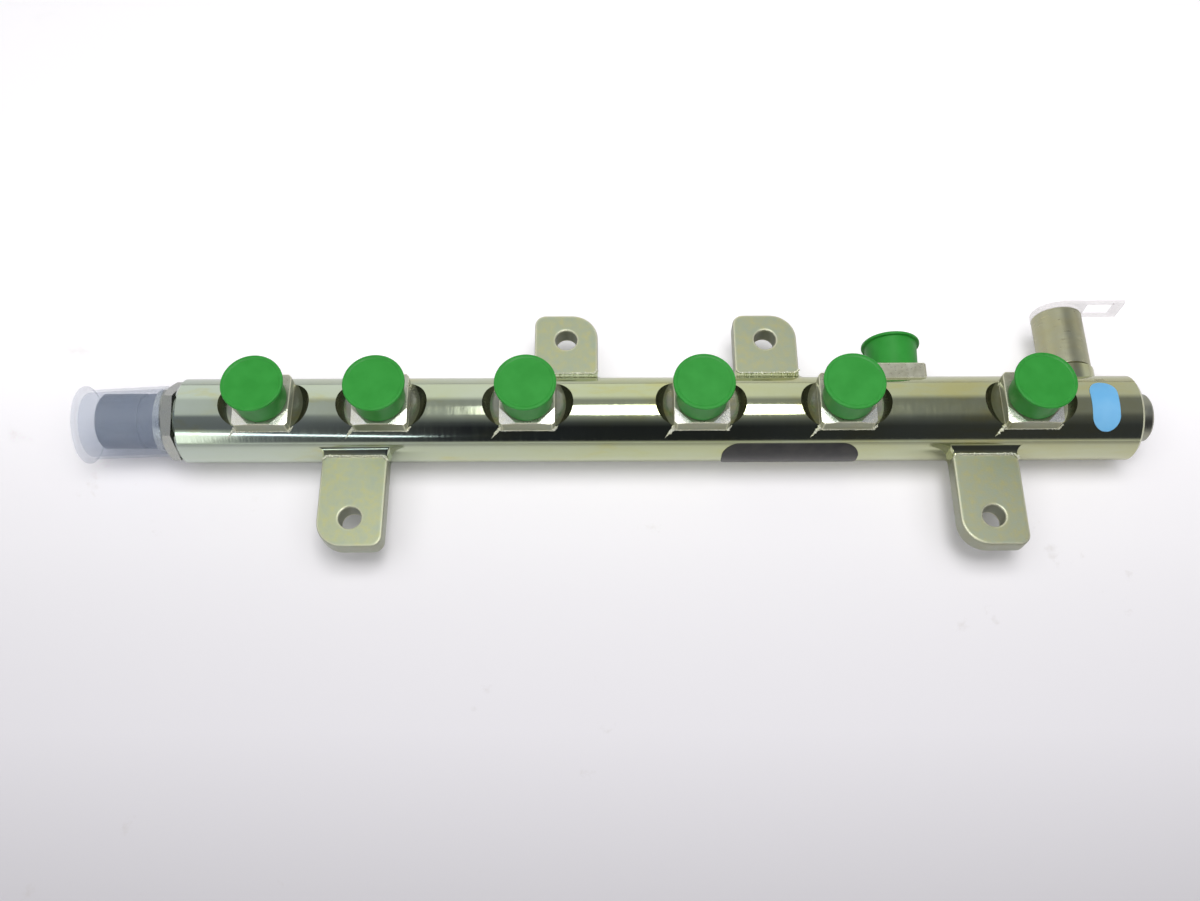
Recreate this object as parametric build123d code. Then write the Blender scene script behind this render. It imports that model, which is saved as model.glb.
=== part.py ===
from build123d import *
import math
import os

# Diesel common rail: one forged and machined rail with six outlet ports, an inlet port and
# four bolting tabs. A pressure sensor is screwed into one end, a plug into the other, and a
# pressure limiting valve into the rear. Every opening wears its transport cap.
#
# The pieces are modelled about the rail's own axis: X runs along the rail from the sensor
# end face, +Y is the rear and +Z is the side the outlet ports point to. On export they move
# to the datum, which is the middle of the front hole pair on the tabs' seating face.

# --- Rail -------------------------------------------------------------------------------
RAIL_LENGTH = 369.0
RAIL_DIAMETER = 33.0
BORE_DIAMETER = 11.0
END_CHAMFER = 1.2

# Places along the rail. Five outlet ports follow one another from the sensor end. The last one,
# the valve and the label keep to the plug end. The tabs and the inlet keep to the port beside
# them, and the plate to the front tab beside it.
FIRST_PORT_OFFSET = 34.5
PORT_SPACINGS = (44.8, 55.7, 65.9, 55.2)
LAST_PORT_END_DISTANCE = 42.9
FRONT_LEFT_TAB_OFFSET = 10.6
FRONT_RIGHT_TAB_OFFSET = 16.5
REAR_LEFT_TAB_OFFSET = 14.0
REAR_RIGHT_TAB_OFFSET = 27.5
INLET_OFFSET = 23.3
PLATE_TAB_DISTANCE = 74.2
VALVE_END_DISTANCE = 20.9
LABEL_END_DISTANCE = 15.0

# --- Port bosses and the milled pockets round them ----------------------------------------
BOSS_WIDTH = 20.9
BOSS_CHAMFER = 1.0
BOSS_RISE = 2.7
POCKET_DIAMETER = 34.7
POCKET_DEPTH = 2.8
POCKET_WALL_RADIUS = 6.0
STUD_DIAMETER = 16.0
STUD_LENGTH = 10.4
STUD_CHAMFER = 1.2
STUD_RELIEF_DEPTH = 1.0
STUD_RELIEF_LENGTH = 1.8
SEAT_MOUTH_DIAMETER = 8.0
SEAT_CONE_ANGLE = 60.0
DRILLING_DIAMETER = 3.0

# --- Bolting tabs -------------------------------------------------------------------------
TAB_WIDTH = 25.2
TAB_THICKNESS = 8.0
TAB_TOP_ABOVE_AXIS = 5.0
FRONT_HOLE_REACH = 42.5
REAR_HOLE_REACH = 32.8
TAB_PAST_HOLE = 11.4
TAB_HOLE_DIAMETER = 8.6
TAB_HOLE_CHAMFER = 0.25
TAB_LARGE_CORNER = 10.4
TAB_SMALL_CORNER = 4.3
TAB_EDGE_ROUNDING = 1.3
TAB_ROOT_RADIUS = 5.0
TAB_FLARE_RADIUS = 2.8
TAB_MILLING_DEPTH = 0.35
TAB_MILLING_OVERRUN = 1.3
TAB_MILLING_CORNER_CUT = 1.4
TAB_MILLING_CORNER_ROUND = 1.0

# --- Port caps ----------------------------------------------------------------------------
CAP_FLANGE_DIAMETER = 23.0
CAP_FLANGE_THICKNESS = 1.3
CAP_LENGTH = 13.5
CAP_SKIRT_TAPER = 0.6
CAP_WALL = 1.5
CAP_CLEARANCE = 0.2
CAP_SEAT_GAP = 0.3

# --- Screw fits ---------------------------------------------------------------------------
THREAD_CLEARANCE = 0.05

# --- Pressure sensor ----------------------------------------------------------------------
SENSOR_THREAD_DIAMETER = 18.0
SENSOR_THREAD_LENGTH = 14.0
SENSOR_NECK_DIAMETER = 17.0
SENSOR_NECK_LENGTH = 1.2
SENSOR_HEX_FLATS = 27.0
SENSOR_HEX_LENGTH = 4.2
SENSOR_HEX_TURN = 14.0
SENSOR_CRIMP_WALL = 1.6
SENSOR_CRIMP_LENGTH = 3.4
SENSOR_PRESSURE_HOLE = 2.5
SEAL_RING_THICKNESS = 1.5
SEAL_RING_HOLE = 7.0
HOUSING_DIAMETER = 21.6
HOUSING_WAIST_DEPTH = 1.0
HOUSING_BASE_LENGTH = 4.7
HOUSING_WAIST_LENGTH = 2.0
HOUSING_SHROUD_LENGTH = 16.5
HOUSING_EDGE_ROUNDING = 1.0
HOUSING_WALL = 2.0
HOUSING_SOCKET_DEPTH = 12.0
HOUSING_SOCKET_FLATS = 13.0
PIN_COUNT = 3
PIN_PITCH = 4.0
PIN_DIAMETER = 1.6
PIN_LENGTH = 9.0
PIN_ROOT = 3.0
COVER_LOOSENESS = 0.5
COVER_TAPER = 0.3
COVER_WALL = 1.0
COVER_FLANGE_WIDTH = 1.6
COVER_FLANGE_THICKNESS = 1.6
COVER_LENGTH = 33.0
COVER_TILT = 2.6
COVER_SEAT_GAP = 0.05

# --- End plug -----------------------------------------------------------------------------
PLUG_THREAD_DIAMETER = 14.0
PLUG_THREAD_LENGTH = 15.0
PLUG_HEAD_DIAMETER = 18.4
PLUG_HEAD_LENGTH = 5.6
PLUG_HEAD_CHAMFER = 0.9
PLUG_SOCKET_FLATS = 8.0
PLUG_SOCKET_DEPTH = 6.0
PLUG_WASHER_DIAMETER = 17.8
PLUG_WASHER_THICKNESS = 1.1

# --- Pressure limiting valve ----------------------------------------------------------------
VALVE_BOSS_DIAMETER = 20.8
VALVE_BOSS_RISE = 2.6
VALVE_BODY_DIAMETER = 19.4
VALVE_BODY_LENGTH = 25.7
VALVE_BODY_CHAMFER = 0.5
VALVE_NECK_DIAMETER = 17.6
VALVE_NECK_LENGTH = 0.8
VALVE_THREAD_DIAMETER = 14.0
VALVE_THREAD_LENGTH = 9.6
VALVE_INLET_DIAMETER = 3.0
VALVE_INLET_LENGTH = 1.6
VALVE_SEAT_ANGLE = 90.0
VALVE_CHAMBER_DIAMETER = 9.0
VALVE_CHAMBER_LENGTH = 15.6
VALVE_OUTLET_DIAMETER = 10.4
PLUNGER_CLEARANCE = 0.05
PLUNGER_SKIRT_LENGTH = 7.0
PLUNGER_FLAT_DEPTH = 0.7
PLUNGER_SEAT_GAP = 0.05
PLUNGER_STEM_DIAMETER = 4.6
PLUNGER_STEM_LENGTH = 2.2
SPRING_WIRE_WIDTH = 1.1
SPRING_WIRE_HEIGHT = 0.9
SPRING_DIAMETER = 8.2
SPRING_TURNS = 4
SPRING_GROUND_DEPTH = 0.3
SHIM_THICKNESS = 0.8
SHIM_HOLE = 3.6
RETAINER_THREAD_DIAMETER = 10.3
RETAINER_LENGTH = 3.2
RETAINER_SOCKET_FLATS = 5.0
OUTLET_CAP_THICKNESS = 2.2
OUTLET_CAP_FLANGE_DIAMETER = 19.8
OUTLET_CAP_PLUG_LENGTH = 4.5
OUTLET_CAP_WALL = 1.0
PULL_TAB_REACH = 14.5
PULL_TAB_HEIGHT = 11.0
PULL_TAB_STRIP = 1.5
PULL_TAB_END_BAR = 3.8
PULL_TAB_THICKNESS = 1.2
PULL_TAB_LOWER_EDGE = -0.5

# --- Data plate and label -------------------------------------------------------------------
PLATE_LENGTH = 52.4
PLATE_HEIGHT = 17.0
PLATE_CORNER = 6.4
PLATE_THICKNESS = 0.3
LABEL_WIDTH = 10.4
LABEL_LENGTH = 19.4
LABEL_CORNER = 5.0
LABEL_THICKNESS = 0.2
LABEL_OFFSET_TO_FRONT = 1.7

# --- Values worked out from the sizes above -------------------------------------------------
RAIL_RADIUS = RAIL_DIAMETER / 2
PORT_STATIONS = [FIRST_PORT_OFFSET + sum(PORT_SPACINGS[:n]) for n in range(len(PORT_SPACINGS) + 1)]
PORT_STATIONS.append(RAIL_LENGTH - LAST_PORT_END_DISTANCE)
FRONT_TAB_STATIONS = (
    PORT_STATIONS[1] - FRONT_LEFT_TAB_OFFSET,
    PORT_STATIONS[5] - FRONT_RIGHT_TAB_OFFSET,
)
REAR_TAB_STATIONS = (
    PORT_STATIONS[2] + REAR_LEFT_TAB_OFFSET,
    PORT_STATIONS[3] + REAR_RIGHT_TAB_OFFSET,
)
INLET_STATION = PORT_STATIONS[4] + INLET_OFFSET
VALVE_STATION = RAIL_LENGTH - VALVE_END_DISTANCE
PLATE_STATION = FRONT_TAB_STATIONS[1] - PLATE_TAB_DISTANCE
LABEL_STATION = RAIL_LENGTH - LABEL_END_DISTANCE
BOSS_FACE = RAIL_RADIUS + BOSS_RISE
POCKET_FLOOR = RAIL_RADIUS - POCKET_DEPTH
VALVE_FACE = RAIL_RADIUS + VALVE_BOSS_RISE
TAB_BOTTOM = TAB_TOP_ABOVE_AXIS - TAB_THICKNESS
TAB_FORGED_TOP = TAB_TOP_ABOVE_AXIS + TAB_MILLING_DEPTH
CRIMP_RADIUS = HOUSING_DIAMETER / 2 + SENSOR_CRIMP_WALL
SENSOR_BORE_DEPTH = SENSOR_THREAD_LENGTH + SEAL_RING_THICKNESS
CRIMP_START = SENSOR_NECK_LENGTH + SENSOR_HEX_LENGTH
HOUSING_START = CRIMP_START + SENSOR_CRIMP_LENGTH
HOUSING_LENGTH = HOUSING_BASE_LENGTH + HOUSING_WAIST_LENGTH + HOUSING_SHROUD_LENGTH
VALVE_FOOT = VALVE_FACE - VALVE_THREAD_LENGTH
SEAT_HALF_SLOPE = math.tan(math.radians(VALVE_SEAT_ANGLE / 2))
SEAT_END = VALVE_FOOT + VALVE_INLET_LENGTH
CHAMBER_START = SEAT_END + (VALVE_CHAMBER_DIAMETER - VALVE_INLET_DIAMETER) / 2 / SEAT_HALF_SLOPE
CHAMBER_END = CHAMBER_START + VALVE_CHAMBER_LENGTH
OUTLET_END = VALVE_FACE + VALVE_BODY_LENGTH
DATUM = Pos(-sum(FRONT_TAB_STATIONS) / 2, FRONT_HOLE_REACH, -TAB_BOTTOM)


def at_port(station):
    """Frame of an outlet port: its Z axis leaves the rail upwards."""
    return Pos(station, 0, 0)


def at_rear(station):
    """Frame of a port on the rear: its Z axis leaves the rail along +Y."""
    return Pos(station, 0, 0) * Rot(-90, 0, 0)


def at_sensor_end():
    """Frame of the sensor end: its Z axis leaves the rail along -X."""
    return Rot(0, -90, 0)


def at_plug_end():
    """Frame of the plug end: its Z axis leaves the rail along +X."""
    return Pos(RAIL_LENGTH, 0, 0) * Rot(0, 90, 0)


def turned(*points):
    """Solid of revolution about Z, from (radius, height) points of a closed half section."""
    outline = Polyline([(r, 0, z) for r, z in points], close=True)
    return revolve(make_face(outline), Axis.Z, 360)


def rod(radius, low, high):
    """Cylinder about Z between two heights."""
    return Pos(0, 0, low) * Cylinder(radius, high - low, align=(Align.CENTER, Align.CENTER, Align.MIN))


def hex_prism(flats, low, high):
    """Hexagonal prism about Z, given across its flats."""
    outline = RegularPolygon(flats / math.sqrt(3), 6)
    return extrude(Pos(0, 0, low) * outline, high - low)


def cone_depth(mouth_radius, hole_radius, angle):
    """Depth of a conical seat of the given full angle between two radii."""
    return (mouth_radius - hole_radius) / math.tan(math.radians(angle / 2))


# --- Rail body --------------------------------------------------------------------------------
def rail_tube():
    """Outer round of the rail, with both end edges broken."""
    section = (
        (0, 0),
        (RAIL_RADIUS - END_CHAMFER, 0),
        (RAIL_RADIUS, END_CHAMFER),
        (RAIL_RADIUS, RAIL_LENGTH - END_CHAMFER),
        (RAIL_RADIUS - END_CHAMFER, RAIL_LENGTH),
        (0, RAIL_LENGTH),
    )
    return Rot(0, 90, 0) * turned(*section)


def pocket():
    """Milled pocket round an outlet port: a flat floor that sweeps up and out of the rail."""
    rim = POCKET_DIAMETER / 2
    top = BOSS_FACE + STUD_LENGTH
    drop_at_rim = POCKET_WALL_RADIUS - POCKET_DEPTH
    floor_radius = rim - math.sqrt(POCKET_WALL_RADIUS**2 - drop_at_rim**2)
    floor_edge = Vector(floor_radius, 0, POCKET_FLOOR)
    centre = Vector(floor_radius, 0, POCKET_FLOOR + POCKET_WALL_RADIUS)
    wall_drop = centre.Z - BOSS_FACE
    wall_reach = math.sqrt(POCKET_WALL_RADIUS**2 - wall_drop**2)
    wall_top = Vector(floor_radius + wall_reach, 0, BOSS_FACE)
    halfway = ((floor_edge - centre) + (wall_top - centre)).normalized() * POCKET_WALL_RADIUS
    edges = [
        Line((0, 0, POCKET_FLOOR), floor_edge),
        ThreePointArc(floor_edge, centre + halfway, wall_top),
        Line(wall_top, (wall_top.X, 0, top)),
        Line((wall_top.X, 0, top), (0, 0, top)),
        Line((0, 0, top), (0, 0, POCKET_FLOOR)),
    ]
    return revolve(make_face(edges), Axis.Z)


def port_boss():
    """Square boss with its corners cut off, carrying the threaded stud."""
    outline = Rectangle(BOSS_WIDTH, BOSS_WIDTH)
    outline = chamfer(outline.vertices(), BOSS_CHAMFER)
    block = extrude(outline, BOSS_FACE)
    tip = BOSS_FACE + STUD_LENGTH
    radius = STUD_DIAMETER / 2
    stud = turned(
        (0, 0),
        (radius - STUD_RELIEF_DEPTH, 0),
        (radius - STUD_RELIEF_DEPTH, BOSS_FACE + STUD_RELIEF_LENGTH),
        (radius, BOSS_FACE + STUD_RELIEF_LENGTH + STUD_RELIEF_DEPTH),
        (radius, tip - STUD_CHAMFER),
        (radius - STUD_CHAMFER, tip),
        (0, tip),
    )
    return block + stud


def port_drilling():
    """Sealing cone in the stud's tip and the drilling from it to the rail's bore."""
    tip = BOSS_FACE + STUD_LENGTH
    mouth = SEAT_MOUTH_DIAMETER / 2
    hole = DRILLING_DIAMETER / 2
    depth = cone_depth(mouth, hole, SEAT_CONE_ANGLE)
    return turned((0, 0), (hole, 0), (hole, tip - depth), (mouth, tip), (0, tip))


def root_points(face_height, side):
    """Root arc of a tab face in the YZ plane, from the rail's round to the flat face.

    Side is 1 for the top face and -1 for the underside. Returns the tangent point on the
    round, a point half way along the arc and the tangent point on the face.
    """
    centre_z = face_height + side * TAB_ROOT_RADIUS
    reach = RAIL_RADIUS + TAB_ROOT_RADIUS
    centre_y = -math.sqrt(reach**2 - centre_z**2)
    centre = Vector(0, centre_y, centre_z)
    to_rail = centre * (-TAB_ROOT_RADIUS / reach)
    to_face = Vector(0, 0, -side * TAB_ROOT_RADIUS)
    halfway = (to_rail + to_face).normalized() * TAB_ROOT_RADIUS
    return centre + to_rail, centre + halfway, centre + to_face


def tab_profile(hole_reach):
    """Side view of a tab that runs out along -Y, blended into the rail above and below."""
    end = hole_reach + TAB_PAST_HOLE
    top_start, top_mid, top_end = root_points(TAB_FORGED_TOP, 1)
    low_start, low_mid, low_end = root_points(TAB_BOTTOM, -1)
    top_corner = Vector(0, -end, TAB_FORGED_TOP)
    low_corner = Vector(0, -end, TAB_BOTTOM)
    top_inner = Vector(0, 0, top_start.Z)
    low_inner = Vector(0, 0, low_start.Z)
    edges = [
        Line(top_inner, top_start),
        ThreePointArc(top_start, top_mid, top_end),
        Line(top_end, top_corner),
        Line(top_corner, low_corner),
        Line(low_corner, low_end),
        ThreePointArc(low_end, low_mid, low_start),
        Line(low_start, low_inner),
        Line(low_inner, top_inner),
    ]
    return make_face(edges)


def tab_outline(hole_reach):
    """Plan of a tab that runs out along -Y: flared at the rail, two unlike outer corners."""
    end = hole_reach + TAB_PAST_HOLE
    foot = -root_points(TAB_FORGED_TOP, 1)[0].Y
    outline = Pos(0, -end / 2) * Rectangle(TAB_WIDTH, end)
    outer = outline.vertices().sort_by(Axis.Y)[:2].sort_by(Axis.X)
    outline = fillet(outer[0], TAB_LARGE_CORNER)
    outer = outline.vertices().sort_by(Axis.X)[-2:].sort_by(Axis.Y)
    outline = fillet(outer[0], TAB_SMALL_CORNER)
    foot_width = TAB_WIDTH + 4 * TAB_FLARE_RADIUS
    outline += Pos(0, -foot / 2) * Rectangle(foot_width, foot)
    at_foot = [v for v in outline.vertices() if abs(v.Y + foot) < 0.01]
    notches = [v for v in at_foot if abs(v.X) < foot_width / 2 - 0.01]
    flared = fillet(notches, TAB_FLARE_RADIUS)
    return flared & Rectangle(TAB_WIDTH + 2 * TAB_FLARE_RADIUS, 3 * end)


def milled_face(hole_reach):
    """What the milling cutter takes off a tab's top, up to a line a little way into the root."""
    start = root_points(TAB_FORGED_TOP, 1)[2].Y + TAB_MILLING_OVERRUN
    end = hole_reach + 2 * TAB_PAST_HOLE
    sweep_area = Pos(0, (start - end) / 2) * Rectangle(TAB_WIDTH, end + start)
    inner = sweep_area.vertices().sort_by(Axis.Y)[-2:].sort_by(Axis.X)
    sweep_area = chamfer(inner[0], TAB_MILLING_CORNER_CUT)
    inner = sweep_area.vertices().sort_by(Axis.X)[-2:].sort_by(Axis.Y)
    sweep_area = fillet(inner[1], TAB_MILLING_CORNER_ROUND)
    return extrude(Pos(0, 0, TAB_TOP_ABOVE_AXIS) * sweep_area, TAB_THICKNESS)


def tab(hole_reach):
    """Forged tab with rounded edges and a milled top, running out along -Y."""
    outline = tab_outline(hole_reach)
    wide = TAB_WIDTH + 4 * TAB_FLARE_RADIUS
    column = extrude(Pos(0, 0, -RAIL_RADIUS) * outline, RAIL_DIAMETER)
    slab = Pos(-wide / 2, 0, 0) * extrude(tab_profile(hole_reach), wide, dir=(1, 0, 0))
    plate = column & slab
    rims = plate.faces().filter_by(Axis.Z).edges()
    foot = -root_points(TAB_FORGED_TOP, 1)[2].Y
    outer_rims = [edge for edge in rims if edge.center().Y < -foot - 0.1]
    return fillet(outer_rims, TAB_EDGE_ROUNDING) - milled_face(hole_reach)


def tab_hole(hole_reach):
    """Bolt hole of a tab with its upper edge broken."""
    radius = TAB_HOLE_DIAMETER / 2
    rim = radius + TAB_HOLE_CHAMFER
    hole = turned(
        (0, TAB_BOTTOM),
        (radius, TAB_BOTTOM),
        (radius, TAB_TOP_ABOVE_AXIS - TAB_HOLE_CHAMFER),
        (rim, TAB_TOP_ABOVE_AXIS),
        (0, TAB_TOP_ABOVE_AXIS),
    )
    return Pos(0, -hole_reach, 0) * hole


def front_tab_frames():
    """Frames of the tabs on the front of the rail."""
    return [Pos(station, 0, 0) for station in FRONT_TAB_STATIONS]


def rear_tab_frames():
    """Frames of the tabs on the rear, turned half a turn about Z."""
    return [Pos(station, 0, 0) * Rot(0, 0, 180) for station in REAR_TAB_STATIONS]


def rail_blank():
    """The forging: the rail's round with its four tabs blended in."""
    body = rail_tube()
    for frame in front_tab_frames():
        body += frame * tab(FRONT_HOLE_REACH)
    for frame in rear_tab_frames():
        body += frame * tab(REAR_HOLE_REACH)
    return body


def sensor_bore():
    """Threaded bore for the sensor, along the sensor end's frame."""
    radius = SENSOR_THREAD_DIAMETER / 2 + THREAD_CLEARANCE
    return rod(radius, -SENSOR_BORE_DEPTH, 0)


def plug_bore():
    """Threaded bore for the end plug, along the plug end's frame."""
    radius = PLUG_THREAD_DIAMETER / 2 + THREAD_CLEARANCE
    return rod(radius, -PLUG_THREAD_LENGTH, 0)


def valve_bore():
    """Threaded bore for the limiting valve, open to the rail's bore."""
    radius = VALVE_THREAD_DIAMETER / 2 + THREAD_CLEARANCE
    return rod(radius, VALVE_FOOT, VALVE_FACE) + rod(VALVE_INLET_DIAMETER / 2, 0, VALVE_FOOT)


def rail_body():
    """The finished rail: forging, bosses, pockets, bores and drillings."""
    body = rail_blank()
    for station in PORT_STATIONS:
        body -= at_port(station) * pocket()
        body += at_port(station) * port_boss()
    body += at_rear(INLET_STATION) * port_boss()
    body += at_rear(VALVE_STATION) * rod(VALVE_BOSS_DIAMETER / 2, 0, VALVE_FACE)
    body -= Rot(0, 90, 0) * rod(BORE_DIAMETER / 2, 0, RAIL_LENGTH)
    for station in PORT_STATIONS:
        body -= at_port(station) * port_drilling()
    body -= at_rear(INLET_STATION) * port_drilling()
    body -= at_rear(VALVE_STATION) * valve_bore()
    body -= at_sensor_end() * sensor_bore()
    body -= at_plug_end() * plug_bore()
    for frame in front_tab_frames():
        body -= frame * tab_hole(FRONT_HOLE_REACH)
    for frame in rear_tab_frames():
        body -= frame * tab_hole(REAR_HOLE_REACH)
    return body


# --- Port caps --------------------------------------------------------------------------------
def port_cap():
    """Push-on cap: a tapered skirt over the stud, closed by a flanged disc."""
    bore = STUD_DIAMETER / 2 + CAP_CLEARANCE
    foot = BOSS_FACE + CAP_SEAT_GAP
    top = foot + CAP_LENGTH
    shoulder = top - CAP_FLANGE_THICKNESS
    rim = CAP_FLANGE_DIAMETER / 2
    return turned(
        (bore, foot),
        (bore + CAP_WALL, foot),
        (bore + CAP_WALL + CAP_SKIRT_TAPER, shoulder),
        (rim, shoulder),
        (rim, top),
        (0, top),
        (0, shoulder),
        (bore, shoulder),
    )


# --- Pressure sensor --------------------------------------------------------------------------
def sensor_body():
    """Steel sensor body: threaded shank, hexagon and crimp ring, along the sensor end's frame."""
    shank = SENSOR_THREAD_DIAMETER / 2
    neck = SENSOR_NECK_DIAMETER / 2
    hexagon = Rot(0, 0, SENSOR_HEX_TURN) * hex_prism(SENSOR_HEX_FLATS, SENSOR_NECK_LENGTH, CRIMP_START)
    corner = SENSOR_HEX_FLATS / math.sqrt(3)
    edge_drop = (corner - SENSOR_HEX_FLATS / 2) * math.tan(math.radians(30))
    chamfer_cone = turned(
        (0, SENSOR_NECK_LENGTH),
        (corner, SENSOR_NECK_LENGTH),
        (corner, CRIMP_START - edge_drop),
        (SENSOR_HEX_FLATS / 2, CRIMP_START),
        (0, CRIMP_START),
    )
    turned_part = turned(
        (0, -SENSOR_THREAD_LENGTH),
        (shank, -SENSOR_THREAD_LENGTH),
        (shank, 0),
        (neck, 0),
        (neck, SENSOR_NECK_LENGTH),
        (0, SENSOR_NECK_LENGTH),
    )
    body = (hexagon & chamfer_cone) + turned_part + rod(CRIMP_RADIUS, CRIMP_START, HOUSING_START)
    return body - rod(SENSOR_PRESSURE_HOLE / 2, -SENSOR_THREAD_LENGTH, 0)


def sensor_seal_ring():
    """Soft sealing ring between the sensor's shank and the bottom of its bore."""
    ring = rod(SENSOR_THREAD_DIAMETER / 2, -SENSOR_BORE_DEPTH, -SENSOR_THREAD_LENGTH)
    return ring - rod(SEAL_RING_HOLE / 2, -SENSOR_BORE_DEPTH, -SENSOR_THREAD_LENGTH)


def socket_outline():
    """Plan of the connector socket: a circle with two flats."""
    round_part = Circle(HOUSING_DIAMETER / 2 - HOUSING_WALL)
    return round_part & Rectangle(HOUSING_DIAMETER, HOUSING_SOCKET_FLATS)


def sensor_housing():
    """Moulded connector housing with a waist and a socket that opens away from the rail."""
    end = HOUSING_START + HOUSING_LENGTH
    waist_start = HOUSING_START + HOUSING_BASE_LENGTH
    waist_end = waist_start + HOUSING_WAIST_LENGTH
    outer = HOUSING_DIAMETER / 2
    waist = outer - HOUSING_WAIST_DEPTH
    body = turned(
        (0, HOUSING_START),
        (outer, HOUSING_START),
        (outer, waist_start),
        (waist, waist_start),
        (waist, waist_end),
        (outer, waist_end),
        (outer, end - HOUSING_EDGE_ROUNDING),
        (outer - HOUSING_EDGE_ROUNDING, end),
        (0, end),
    )
    socket = extrude(Pos(0, 0, end - HOUSING_SOCKET_DEPTH) * socket_outline(), HOUSING_SOCKET_DEPTH)
    return body - socket - sensor_pins()


def pin_offsets():
    """Places of the contact pins across the socket."""
    return [PIN_PITCH * (n - (PIN_COUNT - 1) / 2) for n in range(PIN_COUNT)]


def sensor_pins():
    """Contact pins standing in the connector socket."""
    floor = HOUSING_START + HOUSING_LENGTH - HOUSING_SOCKET_DEPTH
    pins = [Pos(x, 0, 0) * rod(PIN_DIAMETER / 2, floor - PIN_ROOT, floor + PIN_LENGTH) for x in pin_offsets()]
    return Compound(children=pins)


def sensor_cover():
    """Translucent cover over the connector, hanging a little on the crimp ring."""
    outer = CRIMP_RADIUS + COVER_LOOSENESS + COVER_WALL
    end = COVER_LENGTH
    shoulder = end - COVER_FLANGE_THICKNESS
    far = outer - COVER_TAPER
    rim = outer + COVER_FLANGE_WIDTH
    cup = turned(
        (outer - COVER_WALL, 0),
        (outer, 0),
        (far, shoulder),
        (rim, shoulder),
        (rim, end),
        (0, end),
        (0, shoulder),
        (far - COVER_WALL, shoulder),
    )
    reach = outer * math.sin(math.radians(COVER_TILT)) + COVER_SEAT_GAP
    return Pos(0, 0, CRIMP_START + reach) * Rot(COVER_TILT, 0, 0) * cup


# --- End plug ---------------------------------------------------------------------------------
def plug_washer():
    """Sealing washer under the end plug's head."""
    hole = PLUG_THREAD_DIAMETER / 2 + THREAD_CLEARANCE
    ring = rod(PLUG_WASHER_DIAMETER / 2, 0, PLUG_WASHER_THICKNESS)
    return ring - rod(hole, 0, PLUG_WASHER_THICKNESS)


def end_plug():
    """Screwed plug with a round head and a hexagon socket."""
    shank = PLUG_THREAD_DIAMETER / 2
    head = PLUG_HEAD_DIAMETER / 2
    face = PLUG_WASHER_THICKNESS + PLUG_HEAD_LENGTH
    body = turned(
        (0, -PLUG_THREAD_LENGTH),
        (shank, -PLUG_THREAD_LENGTH),
        (shank, PLUG_WASHER_THICKNESS),
        (head, PLUG_WASHER_THICKNESS),
        (head, face - PLUG_HEAD_CHAMFER),
        (head - PLUG_HEAD_CHAMFER, face),
        (0, face),
    )
    return body - hex_prism(PLUG_SOCKET_FLATS, face - PLUG_SOCKET_DEPTH, face)


# --- Pressure limiting valve ------------------------------------------------------------------
def valve_body():
    """Turned valve body: thread, seat, chamber and outlet on one axis."""
    thread = VALVE_THREAD_DIAMETER / 2
    outer = VALVE_BODY_DIAMETER / 2
    neck = VALVE_NECK_DIAMETER / 2
    shell = turned(
        (0, VALVE_FOOT),
        (thread, VALVE_FOOT),
        (thread, VALVE_FACE),
        (neck, VALVE_FACE),
        (neck, VALVE_FACE + VALVE_NECK_LENGTH),
        (outer, VALVE_FACE + VALVE_NECK_LENGTH),
        (outer, OUTLET_END - VALVE_BODY_CHAMFER),
        (outer - VALVE_BODY_CHAMFER, OUTLET_END),
        (0, OUTLET_END),
    )
    inlet = VALVE_INLET_DIAMETER / 2
    chamber = VALVE_CHAMBER_DIAMETER / 2
    way = turned(
        (0, VALVE_FOOT),
        (inlet, VALVE_FOOT),
        (inlet, SEAT_END),
        (chamber, CHAMBER_START),
        (chamber, CHAMBER_END),
        (VALVE_OUTLET_DIAMETER / 2, CHAMBER_END),
        (VALVE_OUTLET_DIAMETER / 2, OUTLET_END),
        (0, OUTLET_END),
    )
    return shell - way


def valve_plunger():
    """Guided plunger: a cone that closes the seat, a skirt with three flow flats, a spring stem."""
    skirt = VALVE_CHAMBER_DIAMETER / 2 - PLUNGER_CLEARANCE
    nose = VALVE_INLET_DIAMETER / 2
    shoulder = CHAMBER_START + PLUNGER_SEAT_GAP
    tip = shoulder - (skirt - nose) / SEAT_HALF_SLOPE
    stem = PLUNGER_STEM_DIAMETER / 2
    stem_end = spring_floor() + PLUNGER_STEM_LENGTH
    body = turned(
        (0, tip),
        (nose, tip),
        (skirt, shoulder),
        (skirt, spring_floor()),
        (stem, spring_floor()),
        (stem, stem_end),
        (0, stem_end),
    )
    flat_radius = 2 * (skirt - PLUNGER_FLAT_DEPTH)
    flats = extrude(Pos(0, 0, tip) * RegularPolygon(flat_radius, 3), stem_end - tip)
    return body & flats


def spring_floor():
    """Height of the plunger shoulder that the spring stands on."""
    return CHAMBER_START + PLUNGER_SEAT_GAP + PLUNGER_SKIRT_LENGTH


def valve_spring():
    """Closing spring of flat wire with ground ends, between the plunger's shoulder and the shim."""
    half_height = SPRING_WIRE_HEIGHT / 2
    low = spring_floor()
    high = CHAMBER_END - SHIM_THICKNESS
    start = low + half_height - SPRING_GROUND_DEPTH
    height = high - half_height + SPRING_GROUND_DEPTH - start
    path = Helix(height / SPRING_TURNS, height, (SPRING_DIAMETER - SPRING_WIRE_WIDTH) / 2)
    across = Plane(origin=path @ 0, x_dir=(1, 0, 0), z_dir=path % 0)
    section = across * Rectangle(SPRING_WIRE_WIDTH, SPRING_WIRE_HEIGHT)
    coil = Pos(0, 0, start) * sweep(section, path, is_frenet=True)
    return coil & rod(SPRING_DIAMETER, low, high)


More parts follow.
